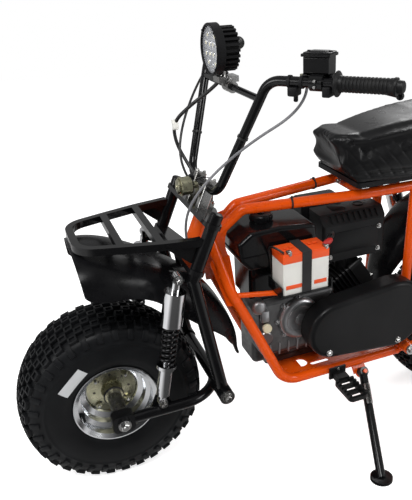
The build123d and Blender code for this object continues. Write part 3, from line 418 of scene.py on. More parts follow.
CLEAR = Finish(
    "clear_lens", (0.95, 0.97, 1.0), (0.93, 0.95, 1.0), rough=(0.03, 0.08), grain=Grain.NONE,
    alpha=0.18, slot="lens",
)
DISH = Finish(
    "lamp_reflector", (0.50, 0.51, 0.53), (0.40, 0.41, 0.43), metallic=1.0, rough=(0.2, 0.35),
    grain_scale=200, relief=0.1,
)
DIODE = Finish(
    "lamp_diode", (0.85, 0.80, 0.55), (0.80, 0.72, 0.42), rough=(0.15, 0.3), grain=Grain.NONE,
)
GREY_HOSE = Finish(
    "grey_hose", (0.20, 0.20, 0.21), (0.15, 0.15, 0.16), rough=(0.4, 0.55), grain_scale=900,
    relief=0.1, slot="rubber",
)
WIRE = Finish(
    "black_wire_sleeve", (0.010, 0.010, 0.010), (0.016, 0.016, 0.016), rough=(0.35, 0.5),
    grain_scale=1100, relief=0.06,
)
WEBBING = Finish(
    "woven_strap", (0.010, 0.010, 0.011), (0.022, 0.022, 0.022), rough=(0.7, 0.85),
    grain_scale=1400, relief=0.3, slot="strap",
)
CREAM = Finish(
    "cream_plug", (0.72, 0.66, 0.46), (0.64, 0.58, 0.40), rough=(0.35, 0.5), grain_scale=500, relief=0.05,
)
RED_RUBBER = Finish(
    "red_boot", (0.45, 0.012, 0.010), (0.38, 0.010, 0.008), rough=(0.4, 0.55), grain_scale=500, relief=0.1,
)
PAPER = Finish(
    "blank_label", (0.62, 0.63, 0.64), (0.56, 0.57, 0.58), rough=(0.45, 0.6), grain_scale=1500, relief=0.03,
)

CARRIED = {
    ORANGE: ("main_frame", "skid_plate", "rear_swing_arm"),
    BLACK_GLOSS: (
        "fork_legs", "yokes", "front_rack", "front_swing_arm", "handlebar", "fuel_tank",
        "side_stand", "battery_tray", "front_springs", "rear_springs", "brake_master",
        "brake_lever", "drive_pulleys",
    ),
    CHROME: ("front_dampers", "rear_dampers"),
    STEEL: (
        "steering_stem", "handlebar_risers", "fork_pivot_bolt", "front_axle", "rear_axle",
        "rear_pivot_bolt", "front_damper_bolts", "rear_damper_bolts", "lamp_bracket",
    ),
    YELLOW_ZINC: ("front_hub", "rear_hub", "horn"),
    RIM_ALLOY: ("front_rim", "rear_rim"),
    ALLOY: ("engine_side_cover",),
    DARK_CAST: ("engine_block",),
    CAST_BLACK: ("cylinder", "muffler_guard", "drive_cover", "foot_pegs"),
    TYRE_RUBBER: ("front_tyre", "rear_tyre"),
    SOFT_RUBBER: ("grips",),
    BLACK_PLASTIC: ("front_guard", "rear_guard", "recoil_starter"),
    MATTE_PLASTIC: ("air_cleaner", "throttle_housing", "lamp_body", "seat_base"),
    WHITE_PLASTIC: ("battery",),
    SEAT_VINYL: ("seat",),
    CLEAR: ("lamp_lens",),
    GREY_HOSE: ("brake_hose",),
    WEBBING: ("battery_strap",),
}


def dress_nodes(nodes: dict[str, bpy.types.Object]) -> None:
    """Gives every carried-over CAD node its finish.

    Args:
        nodes: The CAD nodes by name.
    """
    for finish, names in CARRIED.items():
        for name in names:
            node = nodes[name]
            node.data.materials.clear()
            node.data.materials.append(finish.material())


class Shape:
    """A mesh in the bike's own axes, in millimetres, that ends as one object."""

    # an edge is upright above this cosine, and sharp above this angle in radians
    UPRIGHT: ClassVar[float] = 0.9
    SHARP: ClassVar[float] = 0.7

    def __init__(self) -> None:
        """Starts an empty mesh."""
        self.mesh = bmesh.new()

    def block(self, place: Matrix, size: Triple, bevel: float = 0.0, corner: float = 0.0) -> list:
        """Adds a box with its edges bevelled, and its upright corners rounded more.

        Args:
            place: Where the middle of the box goes, and how it is turned.
            size: Its three lengths.
            bevel: The width of the bevel.
            corner: The radius of the edges along the place's z axis.

        Returns:
            The box's faces.
        """
        scale = Matrix.Diagonal((*size, 1.0))
        before = set(self.mesh.faces)
        made = bmesh.ops.create_cube(self.mesh, size=1.0, matrix=place @ scale)["verts"]
        if corner > 0:
            up = place.to_3x3() @ Vector(UP)
            edges = {edge for vert in made for edge in vert.link_edges}
            along = {e: (e.verts[0].co - e.verts[1].co).normalized().dot(up) for e in edges}
            self._bevel([e for e in edges if abs(along[e]) > self.UPRIGHT], corner, 5)
        if bevel > 0:
            faces = [face for face in self.mesh.faces if face not in before]
            edges = {edge for face in faces for edge in face.edges if edge.calc_face_angle(0.0) > self.SHARP}
            self._bevel(list(edges), bevel, 2)
        return [face for face in self.mesh.faces if face not in before]

    def _bevel(self, edges: list, width: float, segments: int) -> None:
        """Bevels edges.

        Args:
            edges: The edges.
            width: The bevel's width.
            segments: Its steps.
        """
        bmesh.ops.bevel(
            self.mesh, geom=edges, offset=width, segments=segments, affect="EDGES", profile=0.5, material=-1
        )

    def lathe(self, place: Matrix, rings: Sequence[Pair], segments: int = 32) -> None:
        """Adds a turned shape: rings of (height, radius) along the place's z axis, closed at both ends.

        Args:
            place: Where the shape's axis starts, and how it is turned.
            rings: Height and radius of each ring.
            segments: The steps round the axis.
        """
        last: list = []
        for number, (height, radius) in enumerate(rings):
            ends = number in (0, len(rings) - 1)
            loop = self._circle(place @ Matrix.Translation((0, 0, height)), radius, segments, ends)
            if last:
                bmesh.ops.bridge_loops(self.mesh, edges=last + loop)
            last = loop

    def ring(self, place: Matrix, rings: Sequence[Pair], segments: int = 96) -> None:
        """Adds a closed hoop: its section is the loop of (height, radius) points.

        Args:
            place: Where the hoop's axis is, and how it is turned.
            rings: Height and radius of the section's corners, in order round it.
            segments: The steps round the axis.
        """
        loops = [
            self._circle(place @ Matrix.Translation((0, 0, height)), radius, segments)
            for height, radius in rings
        ]
        for last, loop in zip(loops, loops[1:] + loops[:1]):
            bmesh.ops.bridge_loops(self.mesh, edges=last + loop)

    def _circle(self, place: Matrix, radius: float, segments: int, filled: bool = False) -> list:
        """Adds a circle.

        Args:
            place: Its middle, and its axis as z.
            radius: Its radius.
            segments: The steps round it.
            filled: Whether it gets a face.

        Returns:
            Its edges.
        """
        made = bmesh.ops.create_circle(
            self.mesh, cap_ends=filled, segments=segments, radius=radius, matrix=place
        )["verts"]
        return list({edge for vert in made for edge in vert.link_edges})

    def bolt(self, place: Matrix, across: float, head: float, washer: float = 0.0) -> None:
        """Adds a hexagon bolt head with the end of its thread.

        Args:
            place: Where it stands, along the place's z axis.
            across: The head's radius at its corners.
            head: The head's height.
            washer: The radius of the washer under it, or 0 for none.
        """
        base = 0.0
        if washer > 0:
            self.lathe(place, ((0, washer), (1.4, washer), (1.8, washer - 0.5)), 20)
            base = 1.6
        self.lathe(place, ((base, across), (base + head - 1.2, across), (base + head, across * 0.84)), 6)
        self.lathe(place, ((base + head, across * 0.5), (base + head + 1.5, across * 0.42)), 14)

    def both_sides(self, bolts: Sequence[tuple[Triple, Triple]]) -> None:
        """Adds bolts on both sides of the bike, with their heads outward.

        Args:
            bolts: For each its place on the left side, and its head's radius, height and washer.
        """
        for (x, y, z), sizes in bolts:
            for side in (1, -1):
                self.bolt(facing((x, side * y, z), (0, side, 0)), *sizes)

    def piece(self, name: str, body: Body, finish: Finish, smooth: float = 34.0) -> bpy.types.Object:
        """Puts the mesh down in the row frame as one dressed object.

        Args:
            name: The piece's name.
            body: The body it rides on.
            finish: Its surface.
            smooth: The angle, in degrees, up to which edges are shaded smooth.

        Returns:
            The object.
        """
        bmesh.ops.recalc_face_normals(self.mesh, faces=self.mesh.faces[:])
        self.mesh.transform(STANCE.matrix())
        limit = math.radians(smooth)
        for edge in self.mesh.edges:
            edge.smooth = len(edge.link_faces) == 2 and edge.calc_face_angle(0.0) < limit
        for face in self.mesh.faces:
            face.smooth = True
        data = bpy.data.meshes.new(name)
        self.mesh.to_mesh(data)
        self.mesh.free()
        data.materials.append(finish.material())
        made = add_object(name, data)
        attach(made, body.value)
        LOG.info("%s: %d faces", name, len(data.polygons))
        return made


def steered(forward: float, left: float, up: float) -> Vector:
    """Finds a point that is given beside the steering axis.

    Args:
        forward: How far ahead of the axis it is.
        left: How far to its left.
        up: How far up along the axis from the head's upper end.

    Returns:
        The point in the bike's own axes.
    """
    return Vector((
        HEAD[0] + forward * math.cos(RAKE) - up * math.sin(RAKE),
        left,
        HEAD[1] + forward * math.sin(RAKE) + up * math.cos(RAKE),
    ))


def facing(middle: Sequence[float], toward: Sequence[float]) -> Matrix:
    """A place whose z axis points along a direction.

    Args:
        middle: The place.
        toward: The direction.

    Returns:
        The matrix.
    """
    turn = Vector(toward).normalized().to_track_quat("Z", "Y").to_matrix().to_4x4()
    return Matrix.Translation(middle) @ turn


def around(place: Matrix, count: int, first: float = 0.0) -> list[Matrix]:
    """Turns a place in even steps round its z axis.

    Args:
        place: The place.
        count: The steps in a full turn.
        first: The first one's angle, in degrees.

    Returns:
        The turned places.
    """
    angles = [math.radians(first + 360 * number / count) for number in range(count)]
    return [place @ Matrix.Rotation(angle, 4, "Z") for angle in angles]


@dataclass(frozen=True)
class Line:
    """A hose, wire or bar that follows a smooth curve through the bike's own axes."""

    name: str
    points: tuple[Triple, ...]
    radius: float
    body: Body
    finish: Finish

    def build(self) -> bpy.types.Object:
        """Makes the curve, with its points as the control points.

        Returns:
            The curve's object.
        """
        data = bpy.data.curves.new(self.name, "CURVE")
        data.dimensions = "3D"
        data.bevel_depth = self.radius * MM
        data.bevel_resolution = 4
        data.resolution_u = 16
        data.use_fill_caps = True
        spline = data.splines.new("NURBS")
        spline.points.add(len(self.points) - 1)
        for knot, point in zip(spline.points, self.points):
            knot.co = (*STANCE.point(*point), 1.0)
        spline.order_u = 3
        spline.use_endpoint_u = True
        data.materials.append(self.finish.material())
        made = add_object(self.name, data)
        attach(made, self.body.value)
        LOG.info("%s: curve of %d points", self.name, len(self.points))
        return made

    def cord(self) -> bpy.types.Object:
        """Returns:
            The curve's object.
        """
        made = self.build()
        self.length(made)
        return made

    def length(self, made: bpy.types.Object) -> float:
        """Measures the curve on its own line.

        Args:
            made: The curve's object.

        Returns:
            Its length in metres.
        """
        bare = made.data.copy()
        bare.bevel_depth = 0.0
        bare.use_fill_caps = False
        holder = bpy.data.objects.new("measured_line", bare)
        mesh = bpy.data.meshes.new_from_object(holder)
        total = sum(
            (mesh.vertices[e.vertices[0]].co - mesh.vertices[e.vertices[1]].co).length for e in mesh.edges
        )
        bpy.data.meshes.remove(mesh)
        bpy.data.objects.remove(holder)
        bpy.data.curves.remove(bare)
        return total


@dataclass
class Tyre:
    """A knobby tyre: carcass with moulded rings, and staggered rows of hollow lugs."""

    end: str
    axle: Triple
    body: Body
    lug_count: int = 34
    lug_height: float = 9.0
    lug_size: Pair = (21.0, 23.0)
    tread: float = 230.4
    crown: float = 217.0
    # the blocks on each shoulder: radius, distance from the middle, tilt in degrees, and size
    shoulder: Triple = (206, 79.5, 62)
    block: Triple = (9, 15, 26)
    # the lug's chamfer, the width of its rim, and its hollow's slope and depth
    chamfer: float = 1.2
    rim: float = 4.4
    slope: float = 0.9
    hollow: float = 4.5
    # the label: its angle in degrees, the radius of its middle, its size, and its lift off the wall
    label_at: Pair = (134.5, 142.6)
    label_size: Pair = (30, 80)
    label_lift: float = 0.5
    # how far from the middle, and how far along by a part of the pitch
    rows: tuple[Pair, ...] = (
        (0.0, 0.0), (22.5, 0.5), (-22.5, 0.5), (44.0, 0.0), (-44.0, 0.0), (63.5, 0.5), (-63.5, 0.5),
    )
    # half of the section: distance from the middle, and radius
    wall: tuple[Pair, ...] = (
        (60, 101.6), (70.5, 101.6), (75.2, 112.5), (79, 118), (80.6, 121), (80.9, 124), (84.2, 130),
        (86.6, 140), (88.2, 152), (88.7, 163), (88.0, 175), (87.0, 180), (88.0, 182), (87.6, 185),
        (85.8, 187), (84.0, 198), (80.4, 208), (74.0, 217.0), (60.0, 221.6), (44.0, 225.6), (22.0, 229.2),
    )

    def place(self) -> Matrix:
        """The wheel's axle as a z axis."""
        return facing(self.axle, LEFT)

    def build(self) -> None:
        """Makes the tyre and puts it in place of its solid."""
        shape = Shape()
        place = self.place()
        section = [*self.wall, (0, self.tread), *[(-y, r) for y, r in reversed(self.wall)]]
        shape.ring(place, section, 96)
        for across, shift in self.rows:
            tilt = math.asin(across / self.crown)
            radius = self.tread - self.crown + self.crown * math.cos(tilt)
            at = Matrix.Translation((radius, 0, across)) @ Matrix.Rotation(-tilt, 4, "Y")
            for turned in around(place, self.lug_count, shift * 360 / self.lug_count):
                self.lug(shape, turned @ at)
        radius, across, tilt = self.shoulder
        for side in (1, -1):
            at = Matrix.Translation((radius, 0, side * across))
            at @= Matrix.Rotation(math.radians(-side * tilt), 4, "Y")
            for turned in around(place, self.lug_count):
                shape.block(turned @ at, self.block, 1.5)
        made = shape.piece(f"{self.end}_tyre_tread", self.body, TYRE_RUBBER, 40)
        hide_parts(f"{self.end}_tyre")

    def lug(self, shape: Shape, place: Matrix) -> None:
        """Adds one lug with chamfered edges and the square hollow in its top.

        Args:
            shape: The tyre's mesh.
            place: The lug's middle, with its x axis outward.
        """
        wide, long = self.lug_size
        faces = shape.block(place, (2 * self.lug_height, long, wide), self.chamfer)
        out = place.to_3x3() @ Vector(AHEAD)
        top = max(faces, key=lambda face: face.normal.dot(out) * face.calc_area())
        bmesh.ops.inset_individual(shape.mesh, faces=[top], thickness=self.rim, depth=0.0)
        bmesh.ops.inset_individual(shape.mesh, faces=[top], thickness=self.slope, depth=-self.hollow)

    def wall_at(self, radius: float) -> float:
        """Finds the tyre's wall at a radius.

        Args:
            radius: The radius.

        Returns:
            How far the wall is from the tyre's middle plane.
        """
        for (y0, r0), (y1, r1) in zip(self.wall, self.wall[1:]):
            if r0 <= radius <= r1:
                return y0 + (y1 - y0) * (radius - r0) / max(r1 - r0, 0.1)
        return self.wall[-1][0]

    def label(self) -> None:
        """A blank paper label that lies on the tyre's left wall."""
        shape = Shape()
        angle, radius = self.label_at
        centre = Matrix.Rotation(math.radians(angle), 4, "Z") @ Matrix.Translation((radius, 0, 0))
        scale = Matrix.Diagonal((*self.label_size, 1, 1))
        patch = bmesh.ops.create_grid(
            shape.mesh, x_segments=8, y_segments=16, size=0.5, matrix=scale
        )["verts"]
        for vert in patch:
            spot = centre @ vert.co
            height = self.wall_at(spot.xy.length) + self.label_lift
            vert.co = self.place() @ Vector((spot.x, spot.y, height))
        shape.piece("tyre_label", self.body, PAPER, 60)


def part_way(value: float, start: float, end: float) -> float:
    """How far a value is from a start to an end, kept between 0 and 1."""
    return min(1.0, max(0.0, (value - start) / (end - start)))


def hump(distance: float, width: float) -> float:
    """A smooth bell: 1 at no distance, and soon 0 past the width."""
    return math.exp(-((distance / width) ** 2))


@dataclass
class Seat:
    """The padded seat: a swollen pad over its solid, with its seams and stitched sides.

    The first fields are in metres, and those from the seam on in the bike's millimetres.
    """

    solid: str = "seat"
    weld: float = 0.00005
    voxel: float = 0.0058
    smoothing: int = 3
    shrink: float = 0.004
    # the parts above the floor of the pad that keep their place: as it is drawn in, and as cloth
    kept: float = 0.020
    held: float = 0.028
    pressure: float = 4.0
    stiffness: float = 18.0
    quality: int = 4
    frames: int = 20
    cap: float = 0.010
    # the seam round the top: how far it is below the side's outline, its width and depth, and its ridge
    seam_drop: float = 24.0
    seam_width: float = 5.0
    seam_depth: float = 3.0
    ridge: float = 1.6
    # the side's upper outline: x and z
    crest: tuple[Pair, ...] = (
        (-1330, 872), (-1220, 906), (-910, 892), (-700, 862), (-602, 866),
    )
    # where the top is brought down from the solid: x, reach along x, and height
    drops: tuple[Triple, ...] = ((-900, 110, -12), (-620, 60, -6))
    # the heights from which a drop grows, and over how much
    drop_from: Pair = (820, 70)
    # the nose is narrower than the solid: by what part, between which x, and how far it is drawn back
    taper: float = 0.44
    taper_span: Pair = (-880, -630)
    taper_back: float = 14.0
    # between these heights the taper grows from half to the whole
    taper_rise: Pair = (750, 860)
    # the hollow in the nose: height of its middle, half-width, half-height, depth, and where it ends
    hollow: tuple[float, float, float, float] = (808, 92, 50, 26)
    hollow_end: float = -720.0
    # stitched lines down the sides: first x, height it is at, pitch, slope, width and depth
    stitches: tuple[float, ...] = (-700, 863, 33, 0.77, 2.4, 1.5)
    # the stitched part: below the seam by this, above this height, and behind this x
    stitched: Triple = (-10, 756, -655)

    def build(self, nodes: dict[str, bpy.types.Object]) -> None:
        """Makes the pad from the solid and puts it in its place.

        Args:
            nodes: The CAD nodes by name.
        """
        made = self.pad(nodes[self.solid])
        self.swell(made)
        self.shape(made)
        made.data.materials.clear()
        made.data.materials.append(SEAT_VINYL.material())
        made.data.polygons.foreach_set("use_smooth", [True] * len(made.data.polygons))
        made.data.update()
        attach(made, Body.FRAME.value)
        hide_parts(self.solid)
        LOG.info("seat pad: %d faces", len(made.data.polygons))

    def pad(self, solid: bpy.types.Object) -> bpy.types.Object:
        """Makes an evenly meshed copy of the solid, drawn in a little before it swells.

        Args:
            solid: The seat's CAD node.

        Returns:
            The pad's object.
        """
        made = add_object("seat_pad", solid.data.copy())
        mesh = bmesh.new()
        mesh.from_mesh(made.data)
        bmesh.ops.remove_doubles(mesh, verts=mesh.verts[:], dist=self.weld)
        mesh.to_mesh(made.data)
        mesh.free()
        remesh = made.modifiers.new("even", "REMESH")
        remesh.mode = "VOXEL"
        remesh.voxel_size = self.voxel
        self.apply(made)
        mesh = bmesh.new()
        mesh.from_mesh(made.data)
        for _ in range(self.smoothing):
            bmesh.ops.smooth_vert(
                mesh, verts=mesh.verts[:], factor=0.5, use_axis_x=True, use_axis_y=True, use_axis_z=True
            )
        mesh.normal_update()
        floor = min(v.co.z for v in mesh.verts)
        for vert in mesh.verts:
            if vert.co.z > floor + self.kept:
                vert.co -= vert.normal * self.shrink
        mesh.to_mesh(made.data)
        mesh.free()
        return made

    def apply(self, made: bpy.types.Object) -> None:
        """Bakes the object's modifiers into its mesh.

        Args:
            made: The object.
        """
        graph = bpy.context.evaluated_depsgraph_get()
        graph.update()
        done = bpy.data.meshes.new_from_object(made.evaluated_get(graph))
        made.modifiers.clear()
        made.data = done

    def swell(self, made: bpy.types.Object) -> None:
        """Blows the pad up as cloth, caps each point's travel and keeps the result.

        Args:
            made: The pad's object.
        """
        scene = bpy.context.scene
        start = [v.co.copy() for v in made.data.vertices]
        floor = min(p.z for p in start)
        pins = made.vertex_groups.new(name="held")
        pins.add([i for i, p in enumerate(start) if p.z < floor + self.held], 1.0, "REPLACE")
        cloth = made.modifiers.new("cloth", "CLOTH")
        cloth.settings.vertex_group_mass = "held"
        cloth.settings.use_pressure = True
        cloth.settings.uniform_pressure_force = self.pressure
        cloth.settings.quality = self.quality
        cloth.settings.tension_stiffness = self.stiffness
        cloth.settings.compression_stiffness = self.stiffness
        cloth.settings.effector_weights.gravity = 0.0
        cloth.point_cache.frame_start = 1
        cloth.point_cache.frame_end = self.frames
        for frame in range(1, self.frames + 1):
            scene.frame_set(frame)
        self.apply(made)
        scene.frame_set(1)
        for vert, was in zip(made.data.vertices, start):
            moved = vert.co - was
            if moved.length > self.cap:
                vert.co = was + moved.normalized() * self.cap

    def crest_at(self, x: float) -> float:
        """Finds the side's upper outline at a place along the seat.

        Args:
            x: The place.

        Returns:
            The outline's height.
        """
        for (x0, z0), (x1, z1) in zip(self.crest, self.crest[1:]):
            if x <= x1:
                return z0 + part_way(x, x0, x1) * (z1 - z0)
        return self.crest[-1][1]

    def shape(self, made: bpy.types.Object) -> None:
        """Shapes the pad: its top line, its nose, the seam round the top and the stitched sides.

        Args:
            made: The pad's object.
        """
        mesh = bmesh.new()
        mesh.from_mesh(made.data)
        mesh.transform(STANCE.matrix().inverted())
        mesh.normal_update()
        for vert in mesh.verts:
            self.draw_in(vert)
            self.sink_nose(vert)
        sides = [v for v in mesh.verts if abs(v.normal.y) > 0.5]
        edges = list({edge for vert in sides for edge in vert.link_edges})
        bmesh.ops.subdivide_edges(mesh, edges=edges, cuts=1, use_grid_fill=True)
        mesh.normal_update()
        for vert in mesh.verts:
            off = vert.co.z - self.crest_at(vert.co.x) + self.seam_drop
            sink = self.seam_depth * hump(off, self.seam_width)
            ridge = self.ridge * hump(off - 1.7 * self.seam_width, self.seam_width)
            fade = 1 - part_way(vert.normal.x, 0.15, 0.45)
            vert.co -= vert.normal * ((sink - ridge) * fade + self.stitch(vert, off))
        mesh.transform(STANCE.matrix())
        mesh.to_mesh(made.data)
        mesh.free()

    def draw_in(self, vert: bmesh.types.BMVert) -> None:
        """Narrows the nose, draws it back and brings the top down.

        Args:
            vert: The pad's point.
        """
        share = part_way(vert.co.x, *self.taper_span) ** 1.5
        high = part_way(vert.co.z, *self.taper_rise)
        vert.co.y *= 1 - self.taper * share * (0.5 + 0.5 * high)
        vert.co.x -= self.taper_back * share
        level, over = self.drop_from
        for x, reach, height in self.drops:
            if vert.co.z > level:
                vert.co.z += height * hump(vert.co.x - x, reach) * (vert.co.z - level) / over

    def sink_nose(self, vert: bmesh.types.BMVert) -> None:
        """Pushes the front face back into a smooth hollow.

        Args:
            vert: The pad's point.
        """
        middle, half, high, depth = self.hollow
        inside = 1 - (vert.co.y / half) ** 2 - ((vert.co.z - middle) / high) ** 2
        if inside > 0 and vert.normal.x > 0.3 and vert.co.x > self.hollow_end:
            vert.co.x -= depth * inside * inside * (3 - 2 * inside)

    def stitch(self, vert: bmesh.types.BMVert, off: float) -> float:
        """Finds how deep a slanted line of stitches pulls in the side.

        Args:
            vert: The pad's point.
            off: Its height over the seam.

        Returns:
            The depth.
        """
        start, level, pitch, slope, width, depth = self.stitches
        below, above, behind = self.stitched
        if abs(vert.normal.y) < 0.7 or off > below or vert.co.z < above or vert.co.x > behind:
            return 0.0
        along = (vert.co.x - slope * (vert.co.z - level) - start) % pitch
        return depth * hump(min(along, pitch - along) / math.hypot(1, slope), width)


@dataclass
class Lamp:
    """The round work lamp's inside: a bright dish with rings of small lenses."""

    middle: Triple = (-350, 0, 1090)
    lens: float = 52.6
    dish: float = 51.0
    diode: float = 4.4
    # how far ahead of the middle the lens, the dish, the cups and the rim are
    lens_ahead: float = 16.1
    dish_ahead: float = 14.05
    cups_ahead: float = 14.3
    rim_ahead: float = 20.0
    screws: float = 56.0
    # radius of the ring, and how many lenses are on it
    rings: tuple[tuple[float, int], ...] = ((15.5, 4), (38.0, 10))

    def build(self) -> None:
        """Makes the lens, the dish with its cups and diodes, the rim's screws and the bracket's bolts."""
        self.optics()
        self.rim()

    def ahead(self, distance: float) -> Matrix:
        """A place on the lamp's axis, ahead of its middle and facing forward."""
        return facing(Vector(self.middle) + Vector((distance, 0, 0)), AHEAD)

    def spots(self, ahead: float) -> list[Vector]:
        """Finds the middles of the cups.

        Args:
            ahead: How far ahead of the lamp's middle they are.

        Returns:
            The places.
        """
        x, y, z = self.middle
        turns = [(r, 2 * math.pi * (n + 0.5) / count) for r, count in self.rings for n in range(count)]
        return [Vector((x + ahead, y + r * math.cos(turn), z + r * math.sin(turn))) for r, turn in turns]

    def optics(self) -> None:
        """The clear front, the bright dish behind it, and a cup with a diode for each light."""
        lens = Shape()
        rings = ((0, self.lens), (0.9, self.lens), (1.2, self.lens - 1.6))
        lens.lathe(self.ahead(self.lens_ahead), rings, 48)
        made = lens.piece("lamp_front", Body.STEERING, CLEAR)
        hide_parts("lamp_lens")
        dish = Shape()
        rings = ((0, self.dish), (0.2, self.dish), (0.3, self.dish - 1))
        dish.lathe(self.ahead(self.dish_ahead), rings, 48)
        dish.piece("lamp_dish", Body.STEERING, DISH)
        cups = Shape()
        eyes = Shape()
        for at in self.spots(self.cups_ahead):
            cups.ring(facing(at, AHEAD), ((0, 8.4), (1.1, 8.4), (1.1, 7.4), (0.2, 4.6), (0, 4.6)), 20)
            place = Matrix.Translation(at) @ Matrix.Diagonal((0.28, 1, 1, 1))
            bmesh.ops.create_uvsphere(eyes.mesh, u_segments=14, v_segments=8, radius=self.diode, matrix=place)
        cups.piece("lamp_cups", Body.STEERING, CHROME)
        eyes.piece("lamp_diodes", Body.STEERING, DIODE)

    def rim(self) -> None:
        """The front rim with its four screws, and the bolts of the bracket."""
        x, y, z = self.middle
        rim = Shape()
        section = ((0, 53.6), (0, 58.4), (1.6, 57.6), (2.2, 56), (1.6, 54.2))
        rim.ring(self.ahead(self.rim_ahead), section, 64)
        for turn in (45, 135, 225, 315):
            angle = math.radians(turn)
            at = (x + self.rim_ahead, y + self.screws * math.cos(angle), z + self.screws * math.sin(angle))
            rim.lathe(facing(at, AHEAD), ((0, 2.6), (2.6, 2.6), (3.2, 1.9)), 12)
        rim.piece("lamp_rim", Body.STEERING, MATTE_PLASTIC)
        bolts = Shape()
        bolts.both_sides([((x - 18, 20, 1021), (5.5, 5, 7.5))])
        bolts.bolt(facing((x - 2, 0, 1029), (0.6, 0, 0.8)), 6, 6, 8)
        bolts.piece("lamp_bracket_bolts", Body.STEERING, STEEL)


@dataclass
class Controls:
    """What is on the handlebar: ribbed grips, reservoir lid, switch pods, hose fitting and bolts."""

    # the bar's left end, and where it bends down
    end: Triple = (-570, 411, 1048)
    upper: Triple = (-392, 192, 1044)
    grip_radius: float = 16.5
    grip_length: float = 125.0
    # the ribs: how many, the first one's place, and their pitch
    ribs: tuple[int, float, float] = (13, 15, 7.6)
    # how far in from the bar's end the reservoir's clamp is, and how far behind the bar the reservoir
    clamp: float = 170.0
    reservoir: float = 24.0
    # how far in from the clamp the lever's switch, the light switch and the hose's fitting are
    lever_switch: float = -23.0
    light_switch: float = 52.0
    hose_fitting: float = 40.0

    def axis(self, side: int) -> Vector:
        """The outward direction of one end of the bar."""
        along = (Vector(self.end) - Vector(self.upper)).normalized()
        return Vector((along.x, side * along.y, along.z))

    def on_bar(self, distance: float, side: int = 1, rear: float = 0.0, above: float = 0.0) -> Vector:
        """Finds a point beside the bar.

        Args:
            distance: How far in from the bar's end it is.
            side: 1 for the left end and -1 for the right one.
            rear: How far behind the bar it is.
            above: How far above the bar it is.

        Returns:
            The point.
        """
        along = self.axis(side)
        spot = Vector((self.end[0], side * self.end[1], self.end[2])) - along * distance
        level = along.cross(Vector(UP)).normalized() * (-side)
        return spot + level * rear + Vector((0, 0, above))

    def build(self) -> None:
        """Makes all the small pieces on the bar."""
        self.grips()
        self.fittings()
        self.fasteners()

    def grips(self) -> None:
        """Turned rubber grips with a flange, fine ribs and a domed end."""
        shape = Shape()
        r = self.grip_radius
        for side in (1, -1):
            place = facing(self.on_bar(self.grip_length + 4, side), self.axis(side))
            rings = [(0, r + 8.5), (1.5, r + 9.8), (3.5, r + 9.8), (5.4, r + 7.5), (8, r + 1.5), (12, r)]
            count, first, pitch = self.ribs
            for number in range(count):
                at = first + pitch * number
                rings += [(at, r - 0.1), (at + 1.2, r - 1.5), (at + 3.0, r - 1.5), (at + 4.2, r - 0.1)]
            rings += [(117, r + 0.2), (119, r + 1.8), (122, r + 2.4), (124.5, r + 1.4)]
            rings += [(126, r - 3), (136, r - 4), (138.5, r - 7)]
            shape.lathe(place, rings, 40)
        made = shape.piece("ribbed_grips", Body.STEERING, SOFT_RUBBER, 40)
        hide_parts("grips")

    def fittings(self) -> None:
        """The reservoir's lid, the switch pods, the clamp rings and the brake hose's fitting."""
        along = self.axis(1)
        turn = along.to_track_quat("X", "Z").to_matrix().to_4x4()
        lid = Shape()
        middle = self.clamp + 6
        for above, size, bevel, corner in ((57.2, (60, 42, 3.2), 1.0, 5), (59.4, (40, 26, 2.4), 0.9, 4)):
            at = Matrix.Translation(self.on_bar(middle, 1, self.reservoir, above))
            lid.block(at @ turn, size, bevel, corner)
        for off in (-24, 24):
            screw = facing(self.on_bar(middle + off, 1, self.reservoir, 58.4), UP)
            lid.lathe(screw, ((0, 4.2), (2.0, 4.2), (2.8, 3.0)), 14)
        lid.piece("reservoir_lid", Body.STEERING, BLACK_PLASTIC)
        pod = Shape()
        lever, light = self.clamp + self.lever_switch, self.clamp + self.light_switch
        pod.block(Matrix.Translation(self.on_bar(lever, 1, 2, -16)) @ turn, (18, 32, 22), 3)
        pod.block(Matrix.Translation(self.on_bar(light, 1, 0, -19)) @ turn, (22, 30, 20), 4)
        pod.lathe(facing(self.on_bar(light, 1, 8, -26), (0, 0, -1)), ((0, 5), (15, 5), (17, 3.6)), 16)
        for side, at in ((1, self.clamp + 66), (1, self.clamp + 38), (-1, self.clamp + 30)):
            place = facing(self.on_bar(at, side), self.axis(side))
            pod.lathe(place, ((0, 12.2), (0.8, 13.6), (7, 13.6), (8, 12.2)), 24)
        pod.piece("switch_pods", Body.STEERING, MATTE_PLASTIC)
        fitting = Shape()
        tip = self.on_bar(self.clamp + self.hose_fitting, 1, 26, 4)
        fitting.bolt(facing(tip, -along), 7.5, 8, 9)
        fitting.lathe(facing(tip - along * 4, (0, 0, -1)), ((-8, 6.5), (8, 6.5), (10, 4.5)), 18)
        fitting.piece("hose_banjo", Body.STEERING, YELLOW_ZINC)

    def fasteners(self) -> None:
        """Bolts of the risers, the lever and its clamp."""
        steel = Shape()
        for side in (1, -1):
            for forward in (-9, 9):
                steel.bolt(facing(steered(29.2 + forward, side * 38, 97), STEER_UP), 4.6, 5.5, 0)
        steel.bolt(facing(self.on_bar(self.clamp - 27, 1, 30, -8.5), UP), 4.4, 4, 6)
        ahead = self.on_bar(self.clamp, 1, -1) - self.on_bar(self.clamp, 1)
        for above in (-6, 6):
            steel.bolt(facing(self.on_bar(self.clamp, 1, -16.6, above), ahead), 3.8, 4, 0)
        steel.piece("bar_bolts", Body.STEERING, STEEL)


